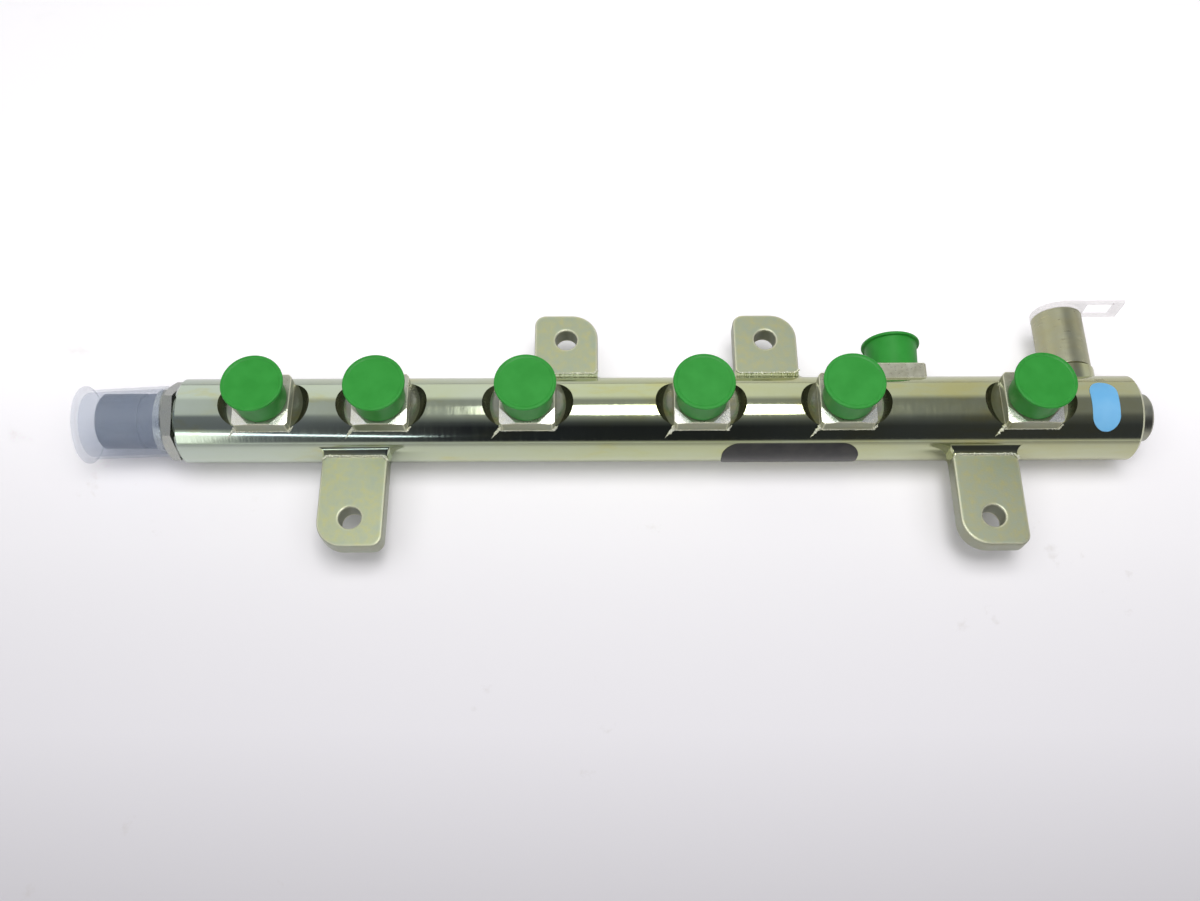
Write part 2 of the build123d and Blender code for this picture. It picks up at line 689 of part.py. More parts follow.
def valve_shim():
    """Shim that sets the spring's load."""
    low = CHAMBER_END - SHIM_THICKNESS
    disc = rod(VALVE_CHAMBER_DIAMETER / 2 - PLUNGER_CLEARANCE, low, CHAMBER_END)
    return disc - rod(SHIM_HOLE / 2, low, CHAMBER_END)


def valve_retainer():
    """Screwed ring that closes the chamber, with a hexagon way through it."""
    low = CHAMBER_END
    ring = rod(RETAINER_THREAD_DIAMETER / 2, low, low + RETAINER_LENGTH)
    return ring - hex_prism(RETAINER_SOCKET_FLATS, low, low + RETAINER_LENGTH)


def valve_outlet_cap():
    """Clear plug in the valve's outlet, with a flange and a looped pull tab."""
    plug = VALVE_OUTLET_DIAMETER / 2 - CAP_CLEARANCE
    flange = OUTLET_CAP_FLANGE_DIAMETER / 2
    top = OUTLET_END + OUTLET_CAP_THICKNESS
    foot = OUTLET_END - OUTLET_CAP_PLUG_LENGTH
    cup = turned(
        (plug - OUTLET_CAP_WALL, foot),
        (plug, foot),
        (plug, OUTLET_END),
        (flange, OUTLET_END),
        (flange, top),
        (0, top),
        (0, OUTLET_END),
        (plug - OUTLET_CAP_WALL, OUTLET_END),
    )
    return cup + pull_tab()


def pull_tab():
    """Flat loop that stands out from the outlet cap's flange along +X."""
    flange = OUTLET_CAP_FLANGE_DIAMETER / 2
    end = flange + PULL_TAB_REACH
    low = PULL_TAB_LOWER_EDGE
    high = low + PULL_TAB_HEIGHT
    outer = Pos(end / 2, (low + high) / 2) * Rectangle(end, PULL_TAB_HEIGHT)
    inner_end = end - PULL_TAB_END_BAR
    inner_height = PULL_TAB_HEIGHT - 2 * PULL_TAB_STRIP
    window = Pos((flange + inner_end) / 2, (low + high) / 2) * Rectangle(inner_end - flange, inner_height)
    loop = extrude(outer - window, PULL_TAB_THICKNESS)
    loop -= rod(flange / 2, 0, PULL_TAB_THICKNESS)
    return Pos(0, 0, OUTLET_END + OUTLET_CAP_THICKNESS - PULL_TAB_THICKNESS) * mirror(loop, Plane.XZ)


# --- Plate and label --------------------------------------------------------------------------
def skin(thickness):
    """Thin tube that lies on the rail's outer round."""
    outer = rod(RAIL_RADIUS + thickness, 0, RAIL_LENGTH)
    return Rot(0, 90, 0) * (outer - rod(RAIL_RADIUS, 0, RAIL_LENGTH))


def data_plate():
    """Bare plate that wraps the front of the rail."""
    outline = RectangleRounded(PLATE_LENGTH, PLATE_HEIGHT, PLATE_CORNER)
    stamp = extrude(Rot(90, 0, 0) * outline, RAIL_DIAMETER)
    return skin(PLATE_THICKNESS) & (Pos(PLATE_STATION, 0, 0) * stamp)


def blue_label():
    """Bare label over the top of the rail near the plug end."""
    outline = RectangleRounded(LABEL_WIDTH, LABEL_LENGTH, LABEL_CORNER)
    stamp = extrude(outline, RAIL_DIAMETER)
    return skin(LABEL_THICKNESS) & (Pos(LABEL_STATION, -LABEL_OFFSET_TO_FRONT, 0) * stamp)


def all_pieces():
    """Every piece by node name, about the rail's axis."""
    pieces = {"rail_body": rail_body()}
    for number, station in enumerate(PORT_STATIONS, start=1):
        pieces[f"port_cap_{number}"] = at_port(station) * port_cap()
    pieces["inlet_cap"] = at_rear(INLET_STATION) * port_cap()
    sensor_end = at_sensor_end()
    pieces["sensor_body"] = sensor_end * sensor_body()
    pieces["sensor_seal_ring"] = sensor_end * sensor_seal_ring()
    pieces["sensor_housing"] = sensor_end * sensor_housing()
    pieces["sensor_pins"] = sensor_end * sensor_pins()
    pieces["sensor_cover"] = sensor_end * sensor_cover()
    plug_end = at_plug_end()
    pieces["plug_washer"] = plug_end * plug_washer()
    pieces["end_plug"] = plug_end * end_plug()
    rear = at_rear(VALVE_STATION)
    pieces["valve_body"] = rear * valve_body()
    pieces["valve_plunger"] = rear * valve_plunger()
    pieces["valve_spring"] = rear * valve_spring()
    pieces["valve_shim"] = rear * valve_shim()
    pieces["valve_retainer"] = rear * valve_retainer()
    pieces["valve_outlet_cap"] = rear * valve_outlet_cap()
    pieces["data_plate"] = data_plate()
    pieces["blue_label"] = blue_label()
    return pieces


def main():
    """Writes one STEP file for each piece, in the datum frame."""
    os.makedirs("parts", exist_ok=True)
    for name, piece in all_pieces().items():
        export_step(DATUM * piece, f"parts/{name}.step")


main()
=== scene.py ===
# %% [markdown]
# # A fuel rail for a six-cylinder common-rail diesel
#
# A forged steel tube stores fuel at high pressure. Six ports on its top feed the injectors and a
# seventh, at the rear, takes the pump's pipe. A pressure sensor closes the left end, a plug the
# right one, and a limiting valve stands out at the rear. Transport caps keep dirt out of it.
# Everything is drawn in metres with +Z up, in the frame that the solid pieces already share.

# %% Load the shared frame
import math

import bmesh
import bpy
from mathutils import Matrix, Vector


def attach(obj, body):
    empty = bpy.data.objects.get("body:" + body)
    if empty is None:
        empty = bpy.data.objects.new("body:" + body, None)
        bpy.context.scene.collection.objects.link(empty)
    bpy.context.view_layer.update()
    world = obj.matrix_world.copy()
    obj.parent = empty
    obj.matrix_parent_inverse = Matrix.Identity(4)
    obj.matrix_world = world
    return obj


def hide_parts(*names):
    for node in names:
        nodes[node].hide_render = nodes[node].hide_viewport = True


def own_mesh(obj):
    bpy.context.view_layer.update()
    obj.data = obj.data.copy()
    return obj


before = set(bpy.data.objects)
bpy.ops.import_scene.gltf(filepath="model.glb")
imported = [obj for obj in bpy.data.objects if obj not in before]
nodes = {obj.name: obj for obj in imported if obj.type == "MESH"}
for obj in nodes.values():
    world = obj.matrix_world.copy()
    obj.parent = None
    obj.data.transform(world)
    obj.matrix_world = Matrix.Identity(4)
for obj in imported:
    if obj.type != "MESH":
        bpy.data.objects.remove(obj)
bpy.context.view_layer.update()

# %% [markdown]
# Sizes are easier to check on the bench in millimetres, so they are written so and turned to
# metres once. The rail's axis runs along X. Ports, tabs and valve are found by their place on it.

# %% Places on the rail
MM = 0.001
AXIS_Y, AXIS_Z = 42.5 * MM, 3.0 * MM
RAIL_RADIUS = 16.5 * MM
RAIL_LEFT, RAIL_RIGHT = -189.15 * MM, 179.85 * MM
PORT_X = [x * MM for x in (-154.65, -109.85, -54.15, 11.75, 66.95, 136.95)]
INLET_X = 90.25 * MM
VALVE_X = 158.95 * MM
PAD_TOP = 8.0 * MM
POCKET_RADIUS = 17.35 * MM
FLOOR_Z = -13.6 * MM
print("rail is", round((RAIL_RIGHT - RAIL_LEFT) / MM, 1), "mm long with", len(PORT_X), "ports")

# %% [markdown]
# ## Small helpers
#
# Colours are given as sRGB hex codes. Light adds up in linear values, so one function turns the code to
# linear. Another adds a shader or geometry node with its settings and links, which keeps each material short
# enough to read as a recipe. A socket that is given another node's output is linked to it, and any other is
# set to the number or colour given.


# %% Colour and node helpers
def linear(code):
    """sRGB hex code to the linear colour that a node expects."""
    parts = [int(code[i:i + 2], 16) / 255 for i in (1, 3, 5)]
    return [c / 12.92 if c <= 0.04045 else ((c + 0.055) / 1.055) ** 2.4 for c in parts] + [1.0]


def add(tree, kind, sockets=None, stops=None, **settings):
    """Adds one node with its settings, gives its sockets values or links, and a ramp its stops."""
    made = tree.nodes.new(kind)
    for name, value in settings.items():
        setattr(made, name, value)
    for name, value in (sockets or {}).items():
        if isinstance(value, bpy.types.NodeSocket):
            tree.links.new(value, made.inputs[name])
        else:
            made.inputs[name].default_value = value
    if stops:
        elements = made.color_ramp.elements
        while len(elements) < len(stops):
            elements.new(0.5)
        for element, (position, colour) in zip(elements, stops):
            element.position = position
            element.color = colour
    return made


def new_material(name, **constants):
    """An empty node material with its shader's constants set on the shader itself."""
    material = bpy.data.materials.new(name)
    material.use_nodes = True
    shader = material.node_tree.nodes["Principled BSDF"]
    for socket, value in constants.items():
        shader.inputs[socket.replace("_", " ")].default_value = value
    return material, material.node_tree, shader


print("white is", [round(c, 3) for c in linear("#FFFFFF")])

# %% [markdown]
# ## Camera
#
# The camera stands in front of the rail, about half a metre away, and looks down on it at about
# 66 degrees. From so near, the front tabs look wider than the same tabs at the rear. A lens about
# as long as the sensor is wide then takes in the whole rail. The camera is held by hand, so it is
# also turned and rolled by about half a degree.

# %% Camera
# The place is in metres, the turns are in degrees and the sensor is in millimetres. The focal
# length is written in pixels of a frame that is so many pixels wide.
CAMERA_PLACE = (-0.02567, -0.15288, 0.41736)
LOOK_DOWN, LOOK_RIGHT, ROLL = 66.266, -0.347, -0.516
SENSOR_WIDTH = 36
FRAME_WIDTH_PX, FOCAL_LENGTH_PX = 1200, 1167
camera_data = bpy.data.cameras.new("studio_camera")
camera = bpy.data.objects.new("studio_camera", camera_data)
bpy.context.scene.collection.objects.link(camera)
bpy.context.scene.camera = camera


def aimed(look_down, turn, roll):
    """Rotation of a camera that looks along +Y, turned down, to the right and rolled (degrees)."""
    down, yaw, tip = (math.radians(a) for a in (look_down, turn, roll))
    aim = Vector((math.sin(yaw) * math.cos(down), math.cos(yaw) * math.cos(down), -math.sin(down)))
    right = aim.cross(Vector((0, 0, 1))).normalized()
    up = right.cross(aim)
    tipped_right = math.cos(tip) * right + math.sin(tip) * up
    tipped_up = math.cos(tip) * up - math.sin(tip) * right
    return Matrix((tipped_right, tipped_up, -aim)).transposed().to_euler()


camera.location = CAMERA_PLACE
camera.rotation_euler = aimed(LOOK_DOWN, LOOK_RIGHT, ROLL)
camera_data.sensor_width = SENSOR_WIDTH
camera_data.lens = SENSOR_WIDTH * FOCAL_LENGTH_PX / FRAME_WIDTH_PX
camera_data.clip_start = 0.01
bpy.context.scene.view_settings.view_transform = "Standard"
print("focal length", round(camera_data.lens, 1), "mm")

# %% [markdown]
# ## Room, table and lamps
#
# Polished metal shows its room more than its own colour. The room here is a pale wall behind the
# rail, a grey ceiling and a dark side where the viewer stands. The angle of a direction round the
# X axis, 0 degrees at the front horizon and 180 at the rear one, is turned to grey by a ramp, and
# three such ramps are blended from left to right. A bright doorway stands low at the far left.
# Mirror-like metal shows these walls. All other light from the room is one soft pale tone, and
# eyes that look past the table see plain white.

# %% Greys of the room
# Brightness at so many degrees round the X axis, at the left, in the middle and at the right.
WALL_GREYS = (
    [(0, 0.8), (5, 0.25), (10, 0.2), (44, 0.2), (76, 0.2), (84, 0.7), (124, 0.7), (134, 0.95)],
    [(0, 0.8), (6, 0.022), (46, 0.02), (58, 0.075), (68, 0.22), (76, 0.38), (120, 0.38), (132, 1.0)],
    [(0, 0.8), (8, 0.05), (46, 0.052), (70, 0.12), (82, 0.26), (120, 0.26), (134, 0.75)])
# Exponents below 1 lift the green and the blue of a dark grey more than those of a pale one.
GREEN_LIFT, BLUE_LIFT = 0.98, 0.88
# Where one part of the room gives way to the next, as the X of a direction.
LEFT_TO_MIDDLE, MIDDLE_TO_RIGHT = (-0.34, -0.12), (0.1, 0.3)
# The doorway's soft edges: its side, as the X of a direction, and its top, in half turns.
DOOR_SIDE, DOOR_TOP = (-0.295, -0.325), (0.235, 0.205)
SOFT_WALL_STRENGTH = 0.16


def wall_stops(greys):
    """Ramp stops for greys from the front horizon, over the ceiling, to the rear horizon."""
    return [(degrees / 180, (grey, grey ** GREEN_LIFT, grey ** BLUE_LIFT, 1)) for degrees, grey in greys]


print("room ramps to blend:", len(WALL_GREYS))

# %% The room as a world
world = bpy.data.worlds.new("pale_room")
bpy.context.scene.world = world
world.use_nodes = True
room = world.node_tree
room.nodes.clear()
direction = add(room, "ShaderNodeTexCoord").outputs["Generated"]
part = add(room, "ShaderNodeSeparateXYZ", {"Vector": direction})
front = add(room, "ShaderNodeMath", {0: part.outputs["Y"], 1: -1.0}, operation="MULTIPLY")
height = add(room, "ShaderNodeMath", {0: part.outputs["Z"], 1: front.outputs[0]}, operation="ARCTAN2")
turn = add(room, "ShaderNodeMapRange", {"Value": height.outputs[0], "From Min": 0.0, "From Max": math.pi})
left_walls, middle_walls, right_walls = [
    add(room, "ShaderNodeValToRGB", {"Fac": turn.outputs[0]}, wall_stops(greys)).outputs["Color"]
    for greys in WALL_GREYS]
to_middle = add(room, "ShaderNodeMapRange", {
    "Value": part.outputs["X"], "From Min": LEFT_TO_MIDDLE[0], "From Max": LEFT_TO_MIDDLE[1]})
to_right = add(room, "ShaderNodeMapRange", {
    "Value": part.outputs["X"], "From Min": MIDDLE_TO_RIGHT[0], "From Max": MIDDLE_TO_RIGHT[1]})
left_and_middle = add(room, "ShaderNodeMixRGB", {
    "Fac": to_middle.outputs[0], "Color1": left_walls, "Color2": middle_walls})
all_walls = add(room, "ShaderNodeMixRGB", {
    "Fac": to_right.outputs[0], "Color1": left_and_middle.outputs[0], "Color2": right_walls})
far_left = add(room, "ShaderNodeMapRange", {
    "Value": part.outputs["X"], "From Min": DOOR_SIDE[0], "From Max": DOOR_SIDE[1]})
below = add(room, "ShaderNodeMapRange", {
    "Value": turn.outputs[0], "From Min": DOOR_TOP[0], "From Max": DOOR_TOP[1]})
doorway = add(room, "ShaderNodeMath", {0: far_left.outputs[0], 1: below.outputs[0]}, operation="MULTIPLY")
walls_and_doorway = add(room, "ShaderNodeMixRGB", {
    "Fac": doorway.outputs[0], "Color1": all_walls.outputs[0], "Color2": linear("#DFE3DC")})
print("room has", len(room.nodes), "nodes so far")

# %% What each kind of ray meets in the room
ray_kind = add(room, "ShaderNodeLightPath")
seen_wall = add(room, "ShaderNodeBackground", {"Color": linear("#FFFFFF"), "Strength": 1.0})
lit_wall = add(room, "ShaderNodeBackground", {"Color": walls_and_doorway.outputs[0], "Strength": 1.0})
soft_wall = add(room, "ShaderNodeBackground", {"Color": linear("#F1F4F8"), "Strength": SOFT_WALL_STRENGTH})
mirrored = add(room, "ShaderNodeMixShader", {
    0: ray_kind.outputs["Is Glossy Ray"], 1: soft_wall.outputs[0], 2: lit_wall.outputs[0]})
met = add(room, "ShaderNodeMixShader", {
    0: ray_kind.outputs["Is Camera Ray"], 1: mirrored.outputs[0], 2: seen_wall.outputs[0]})
add(room, "ShaderNodeOutputWorld", {"Surface": met.outputs[0]})
print("kinds of wall:", [wall.inputs["Strength"].default_value for wall in (seen_wall, lit_wall, soft_wall)])

# %% [markdown]
# The table is smooth pale laminate with small scuffs. Its colour is darker towards the front: a colour ramp
# over the depth paints the shade of the viewer, who stands in the light there, and noise gives the scuffs.
# Its glow is only for rays that come from the eye, straight or by way of a clear part, so it
# whitens the background behind the rail without lighting the rail, and the rail's shadow still
# lies on the table.

# %% Table laminate
# Depths on the table, in metres from the origin: where its painted shade fades from dark to pale, and where
# its glow starts and is full. The glow rises slowly at first, by this power, to this strength.
PALE_FROM, PALE_FULL = -0.15, 0.0
GLOW_FROM, GLOW_FULL = -0.12, 0.08
GLOW_POWER, GLOW_STRENGTH = 3.0, 0.28


def lit_laminate():
    """Pale laminate, scuffed, with painted shade to the front and a glow to the eye at the back."""
    material, tree, shader = new_material("white_laminate", Roughness=0.6, Specular_IOR_Level=0.2)
    place = add(tree, "ShaderNodeTexCoord").outputs["Object"]
    depth = add(tree, "ShaderNodeSeparateXYZ", {"Vector": place}).outputs["Y"]
    # Painted shade: the laminate's colour darkens towards the front, where the viewer's shadow falls.
    near_to_far = add(tree, "ShaderNodeMapRange", {
        "Value": depth, "From Min": PALE_FROM, "From Max": PALE_FULL})
    shade = add(tree, "ShaderNodeValToRGB", {"Fac": near_to_far.outputs[0]}, [
        (0.0, linear("#CBC8CC")), (0.5, linear("#EAE7EB")), (1.0, linear("#F3F0F3"))])
    scuff = add(tree, "ShaderNodeTexNoise", {
        "Vector": place, "Scale": 38.0, "Detail": 6.0, "Roughness": 0.68})
    worn = add(tree, "ShaderNodeMapRange", {
        "Value": scuff.outputs[0], "From Min": 0.66, "From Max": 0.78, "To Min": 0.0, "To Max": 0.35})
    tint = add(tree, "ShaderNodeMixRGB", {
        "Fac": worn.outputs[0], "Color1": shade.outputs[0], "Color2": linear("#B9AFA6")})
    tree.links.new(tint.outputs[0], shader.inputs["Base Color"])
    rise = add(tree, "ShaderNodeMapRange", {"Value": depth, "From Min": GLOW_FROM, "From Max": GLOW_FULL})
    eased = add(tree, "ShaderNodeMath", {0: rise.outputs[0], 1: GLOW_POWER}, operation="POWER")
    glow = add(tree, "ShaderNodeMath", {0: eased.outputs[0], 1: GLOW_STRENGTH}, operation="MULTIPLY")
    ray = add(tree, "ShaderNodeLightPath")
    seen = add(tree, "ShaderNodeMath", {
        0: ray.outputs["Is Camera Ray"], 1: ray.outputs["Is Transmission Ray"]}, operation="MAXIMUM")
    only_seen = add(tree, "ShaderNodeMath", {0: seen.outputs[0], 1: glow.outputs[0]}, operation="MULTIPLY")
    shader.inputs["Emission Color"].default_value = linear("#FFFFFF")
    tree.links.new(only_seen.outputs[0], shader.inputs["Emission Strength"])
    return material


# %% Pale table
TABLE_REACH = 1.6
table_mesh = bpy.data.meshes.new("pale_table")
table_mesh.from_pydata(
    [(-TABLE_REACH, -TABLE_REACH, FLOOR_Z), (TABLE_REACH, -TABLE_REACH, FLOOR_Z),
     (TABLE_REACH, TABLE_REACH, FLOOR_Z), (-TABLE_REACH, TABLE_REACH, FLOOR_Z)], [], [(0, 1, 2, 3)])
pale_table = bpy.data.objects.new("pale_table", table_mesh)
bpy.context.scene.collection.objects.link(pale_table)
table_mesh.materials.append(lit_laminate())
print("table at", round(FLOOR_Z / MM, 1), "mm")

# %% [markdown]
# A softbox overhead, with a weaker strip to its left, is mirrored by the flat tops of the rail. A
# window at the front left, a tall pane and a thin slanted sill, gives the crisp patches near that
# end. A wide fill lamp softens the shadows. It is left out of reflections, because its outline
# would cover the room's bands in the tube.


# %% Lamps
def softbox(name, place, target, size, watts, tint="#FFFFFF", tilt=0.0, mirrored=True):
    """A rectangular lamp at a place, turned to its target and tilted (degrees) about that line."""
    data = bpy.data.lights.new(name, "AREA")
    data.shape = "RECTANGLE"
    data.size, data.size_y = size
    data.energy = watts
    data.color = linear(tint)[:3]
    lamp = bpy.data.objects.new(name, data)
    bpy.context.scene.collection.objects.link(lamp)
    lamp.location = place
    aim = (Vector(target) - Vector(place)).to_track_quat("-Z", "Y")
    lamp.rotation_euler = (aim.to_matrix() @ Matrix.Rotation(math.radians(tilt), 3, "Z")).to_euler()
    lamp.visible_glossy = mirrored
    return lamp


softbox("ceiling_softbox", (0.08, 0.06, 1.0), (0.08, 0.03, 0.0), size=(0.28, 0.46), watts=3.0)
softbox("ceiling_spill", (-0.12, 0.06, 1.0), (-0.12, 0.03, 0.0), size=(0.12, 0.40), watts=0.40)
softbox("window_pane", (-0.57, -0.84, 0.30), (-0.18, 0.04, 0.0), size=(0.19, 0.50), watts=0.26)
softbox("window_sill", (-0.44, -0.895, 0.47), (-0.15, 0.04, 0.0), size=(0.43, 0.055), watts=0.30,
        tint="#DCE8FF", tilt=-28)
softbox("overhead_fill", (0.0, -0.10, 1.0), (0.0, 0.02, 0.0), size=(1.6, 0.9), watts=7.7, mirrored=False)

# %% [markdown]
# ## Metals
#
# The forging is ground, electro-galvanised and then passivated in a yellow bath. Zinc gives the
# grey, the passivation a thin straw and green film, and because the film's thickness wanders,
# so does its tint. The ground tube stays nearly a mirror; the milled tab tops scatter light.
# One recipe makes them all: noise for the clouds of tint, and finer noise for the tool's marks.

# %% Zinc with a straw-green passivation film
# Depth of a pattern's relief at full strength.
RELIEF_DEPTH = 0.2 * MM


def zinc_film(name, along_rail, cloud_mm, roughness, marks, grain_mm=1.1, relief=0.05, streak=0.0,
              pull=0.4, rim_mm=0.0, metal=1.0):
    """Passivated zinc: a cloudy tint that drifts along the rail, over metal with fine marks.

    along_rail holds (pale, straw) pairs of tints from the left end to the right one. Marks scales
    the grain along X, Y and Z: a small number draws it out into lines that way. Streak is how
    strongly the yellow runs of a thicker film show and pull how far they are drawn out along X.
    Rim_mm is the radius of a rounded edge, over which the light runs softly from face to face and
    on which a pale highlight is painted into the colour. Metal is below 1 where a matt film covers part of
    the metal.
    """
    material, tree, shader = new_material(name, Metallic=metal)
    place = add(tree, "ShaderNodeTexCoord").outputs["Object"]
    part = add(tree, "ShaderNodeSeparateXYZ", {"Vector": place})
    drift = add(tree, "ShaderNodeMapRange", {
        "Value": part.outputs["X"], "From Min": RAIL_LEFT, "From Max": RAIL_RIGHT})
    along_rail = along_rail if len(along_rail) > 1 else along_rail * 2
    steps = [k / (len(along_rail) - 1) for k in range(len(along_rail))]
    pale, straw = [
        add(tree, "ShaderNodeValToRGB", {"Fac": drift.outputs[0]}, [
            (at, linear(pair[which])) for at, pair in zip(steps, along_rail)])
        for which in (0, 1)]
    drawn_out = add(tree, "ShaderNodeMapping", {"Vector": place, "Scale": (pull, 1.0, 1.0)})
    cloud = add(tree, "ShaderNodeTexNoise", {
        "Vector": drawn_out.outputs[0], "Scale": 1000 / cloud_mm, "Detail": 5.0, "Roughness": 0.6})
    patch = add(tree, "ShaderNodeMapRange", {"Value": cloud.outputs[0], "From Min": 0.3, "From Max": 0.7})
    tint = add(tree, "ShaderNodeMixRGB", {
        "Fac": patch.outputs[0], "Color1": pale.outputs[0], "Color2": straw.outputs[0]})
    run = add(tree, "ShaderNodeMapRange", {
        "Value": cloud.outputs[0], "From Min": 0.56, "From Max": 0.66, "To Min": 0.0, "To Max": streak})
    yellowed = add(tree, "ShaderNodeMixRGB", {
        "Fac": run.outputs[0], "Color1": tint.outputs[0], "Color2": linear("#C6BE74")})
    tree.links.new(yellowed.outputs[0], shader.inputs["Base Color"])
    stretched = add(tree, "ShaderNodeMapping", {"Vector": place, "Scale": marks})
    scratch = add(tree, "ShaderNodeTexNoise", {
        "Vector": stretched.outputs[0], "Scale": 1000 / grain_mm, "Detail": 3.0})
    rough = add(tree, "ShaderNodeMapRange", {
        "Value": scratch.outputs[0], "From Min": 0.3, "From Max": 0.7,
        "To Min": roughness[0], "To Max": roughness[1]})
    tree.links.new(rough.outputs[0], shader.inputs["Roughness"])
    bump = add(tree, "ShaderNodeBump", {
        "Height": scratch.outputs[0], "Strength": relief, "Distance": RELIEF_DEPTH})
    if rim_mm:
        rim_bevel = add(tree, "ShaderNodeBevel", {"Radius": rim_mm * MM}, samples=8)
        tree.links.new(rim_bevel.outputs[0], bump.inputs["Normal"])
        own = add(tree, "ShaderNodeNewGeometry").outputs["Normal"]
        same = add(tree, "ShaderNodeVectorMath", {
            0: rim_bevel.outputs[0], 1: own}, operation="DOT_PRODUCT")
        # Painted highlight: where the bevelled normal leans off the face, the colour is mixed towards pale.
        rim_highlight_mask = add(tree, "ShaderNodeMapRange", {
            "Value": same.outputs["Value"], "From Min": 0.995, "From Max": 0.93,
            "To Min": 0.0, "To Max": 0.8})
        painted_rim_highlight = add(tree, "ShaderNodeMixRGB", {
            "Fac": rim_highlight_mask.outputs[0], "Color1": yellowed.outputs[0], "Color2": linear("#FBF8DC")})
        tree.links.new(painted_rim_highlight.outputs[0], shader.inputs["Base Color"])
    tree.links.new(bump.outputs[0], shader.inputs["Normal"])
    return material


print("relief of the marks", round(RELIEF_DEPTH / MM, 2), "mm at full strength")

# %% [markdown]
# Each tool leaves its own finish on the forging. The grinding belt leaves a near mirror, the
# face mill an even dull top, the ball cutter a swept floor, and the hammer's die a grey skin.

# %% Finishes of the forging
# Ground tube: nearly a mirror, whose film goes from silver at the left to straw at the right.
ground_zinc = zinc_film(
    "ground_passivated_zinc", [("#C2CDC2", "#BECAB6"), ("#C0C8A8", "#BDC392"), ("#BFC4A6", "#BBB98A")],
    13.0, (0.07, 0.14), (1.0, 0.15, 0.15), relief=0.03, streak=0.35)
# Milled tab tops: evenly dull, finely mottled, the greenest film.
milled_zinc = zinc_film(
    "milled_passivated_zinc", [("#B3BDA6", "#C0C593"), ("#A6B098", "#B4B58B"), ("#A2AA96", "#ACAA82")],
    3.0, (0.32, 0.46), (1.0, 1.0, 1.0), grain_mm=0.8, relief=0.2, streak=0.12, pull=1.0, rim_mm=1.4,
    metal=0.65)
# Faced bosses: patches of pale and grey film, rough enough to catch the ceiling lamp.
faced_zinc = zinc_film(
    "faced_boss_zinc", [("#DCDECF", "#A6A892"), ("#D6D4BF", "#A8A588")],
    7.0, (0.26, 0.36), (1.0, 1.0, 1.0), relief=0.12, pull=1.0, rim_mm=0.6, metal=0.8)
# Pocket floors: swept by a ball cutter, a little duller than the ground tube.
pocket_zinc = zinc_film(
    "swept_pocket_zinc", [("#B4B8AB", "#ADAE96"), ("#AFB39E", "#A9A782")],
    6.0, (0.16, 0.24), (1.0, 1.0, 1.0), grain_mm=2.5, relief=0.04, streak=0.3)
# Pocket walls: painted shade. They face one another and the caps, so little light reaches them, and their
# colour is painted dark for that.
painted_shade_wall_zinc = zinc_film(
    "painted_shade_pocket_wall", [("#5E6358", "#6D6E58"), ("#595D4C", "#66654A")],
    6.0, (0.2, 0.3), (1.0, 1.0, 1.0), grain_mm=2.5, relief=0.04)
# Tab sides: as forged, greyer and duller than what was machined.
forged_zinc = zinc_film(
    "forged_tab_zinc", [("#9EA494", "#9FA187"), ("#989D8B", "#9B9A7F")],
    5.0, (0.28, 0.4), (1.0, 1.0, 1.0), grain_mm=1.4, relief=0.1, pull=1.0, rim_mm=1.4, metal=0.5)
# Burrs: real lips of metal, whose near-white colour also paints the glint of light along them.
burr_glint_zinc = zinc_film(
    "burr_with_painted_glint", [("#E8EADF", "#E9E7C6")],
    2.0, (0.2, 0.3), (1.0, 1.0, 1.0), grain_mm=0.6, relief=0.2, metal=0.5)
# Broken corners of the bosses: smoother than the faces beside them, with a near-white colour that paints in
# part the lamp's highlight on them.
corner_zinc = zinc_film(
    "broken_corner_with_painted_highlight", [("#FFFFFA", "#F3F1DE")],
    3.0, (0.2, 0.3), (1.0, 1.0, 1.0), relief=0.05, pull=1.0, metal=0.85)
rail_metals = (ground_zinc, milled_zinc, faced_zinc, pocket_zinc, painted_shade_wall_zinc, forged_zinc, corner_zinc)
print("finishes of the forging:", len(rail_metals), "and", burr_glint_zinc.name)

# %% [markdown]
# The screwed-in parts are turned on a lathe, so their marks run round them in fine lines: the
# grain is drawn out across the piece's own axis. Each is a plainer metal than the forging.

# %% Finishes of the turned parts
# Valve body: zinc with a faint straw film, turned about the Y axis.
valve_zinc = zinc_film("turned_valve_zinc", [("#B0B29A", "#B3B08C")], 7.0, (0.26, 0.38), (0.2, 1.0, 0.2))
# Sensor body: clear zinc without the film, turned about the X axis as the plug is.
sensor_zinc = zinc_film("sensor_zinc_steel", [("#AEB2AF", "#B6B8AE")], 6.0, (0.22, 0.34), (1.0, 0.2, 0.2))
# End plug: heat-darkened steel, a little duller.
dark_steel = zinc_film("blued_plug_steel", [("#999C90", "#A3A28E")], 6.0, (0.3, 0.42), (1.0, 0.2, 0.2))
# Plunger, shim and retainer: hardened and ground, the smoothest of them.
bright_steel = zinc_film("ground_hard_steel", [("#B9B9B7", "#C2C1BE")], 5.0, (0.14, 0.24), (0.2, 1.0, 0.2))
# Closing spring: cold-drawn wire, darker and without zinc.
spring_wire = zinc_film("drawn_spring_wire", [("#8F8F8C", "#9C9B96")], 3.0, (0.25, 0.36), (0.2, 1.0, 0.2))
# Seal ring and washer: annealed, so soft and dull.
soft_iron = zinc_film("annealed_soft_iron", [("#6E6D68", "#7A776E")], 4.0, (0.34, 0.46), (1.0, 0.3, 0.3))
# Contact pins: brass under thin tin.
pin_brass = zinc_film("tinned_brass_pin", [("#C9B98C", "#D3C294")], 2.0, (0.2, 0.3), (1.0, 0.2, 0.2))
turned_metals = (valve_zinc, sensor_zinc, dark_steel, bright_steel, spring_wire, soft_iron, pin_brass)
print("finishes of the turned parts:", [metal.name for metal in turned_metals])

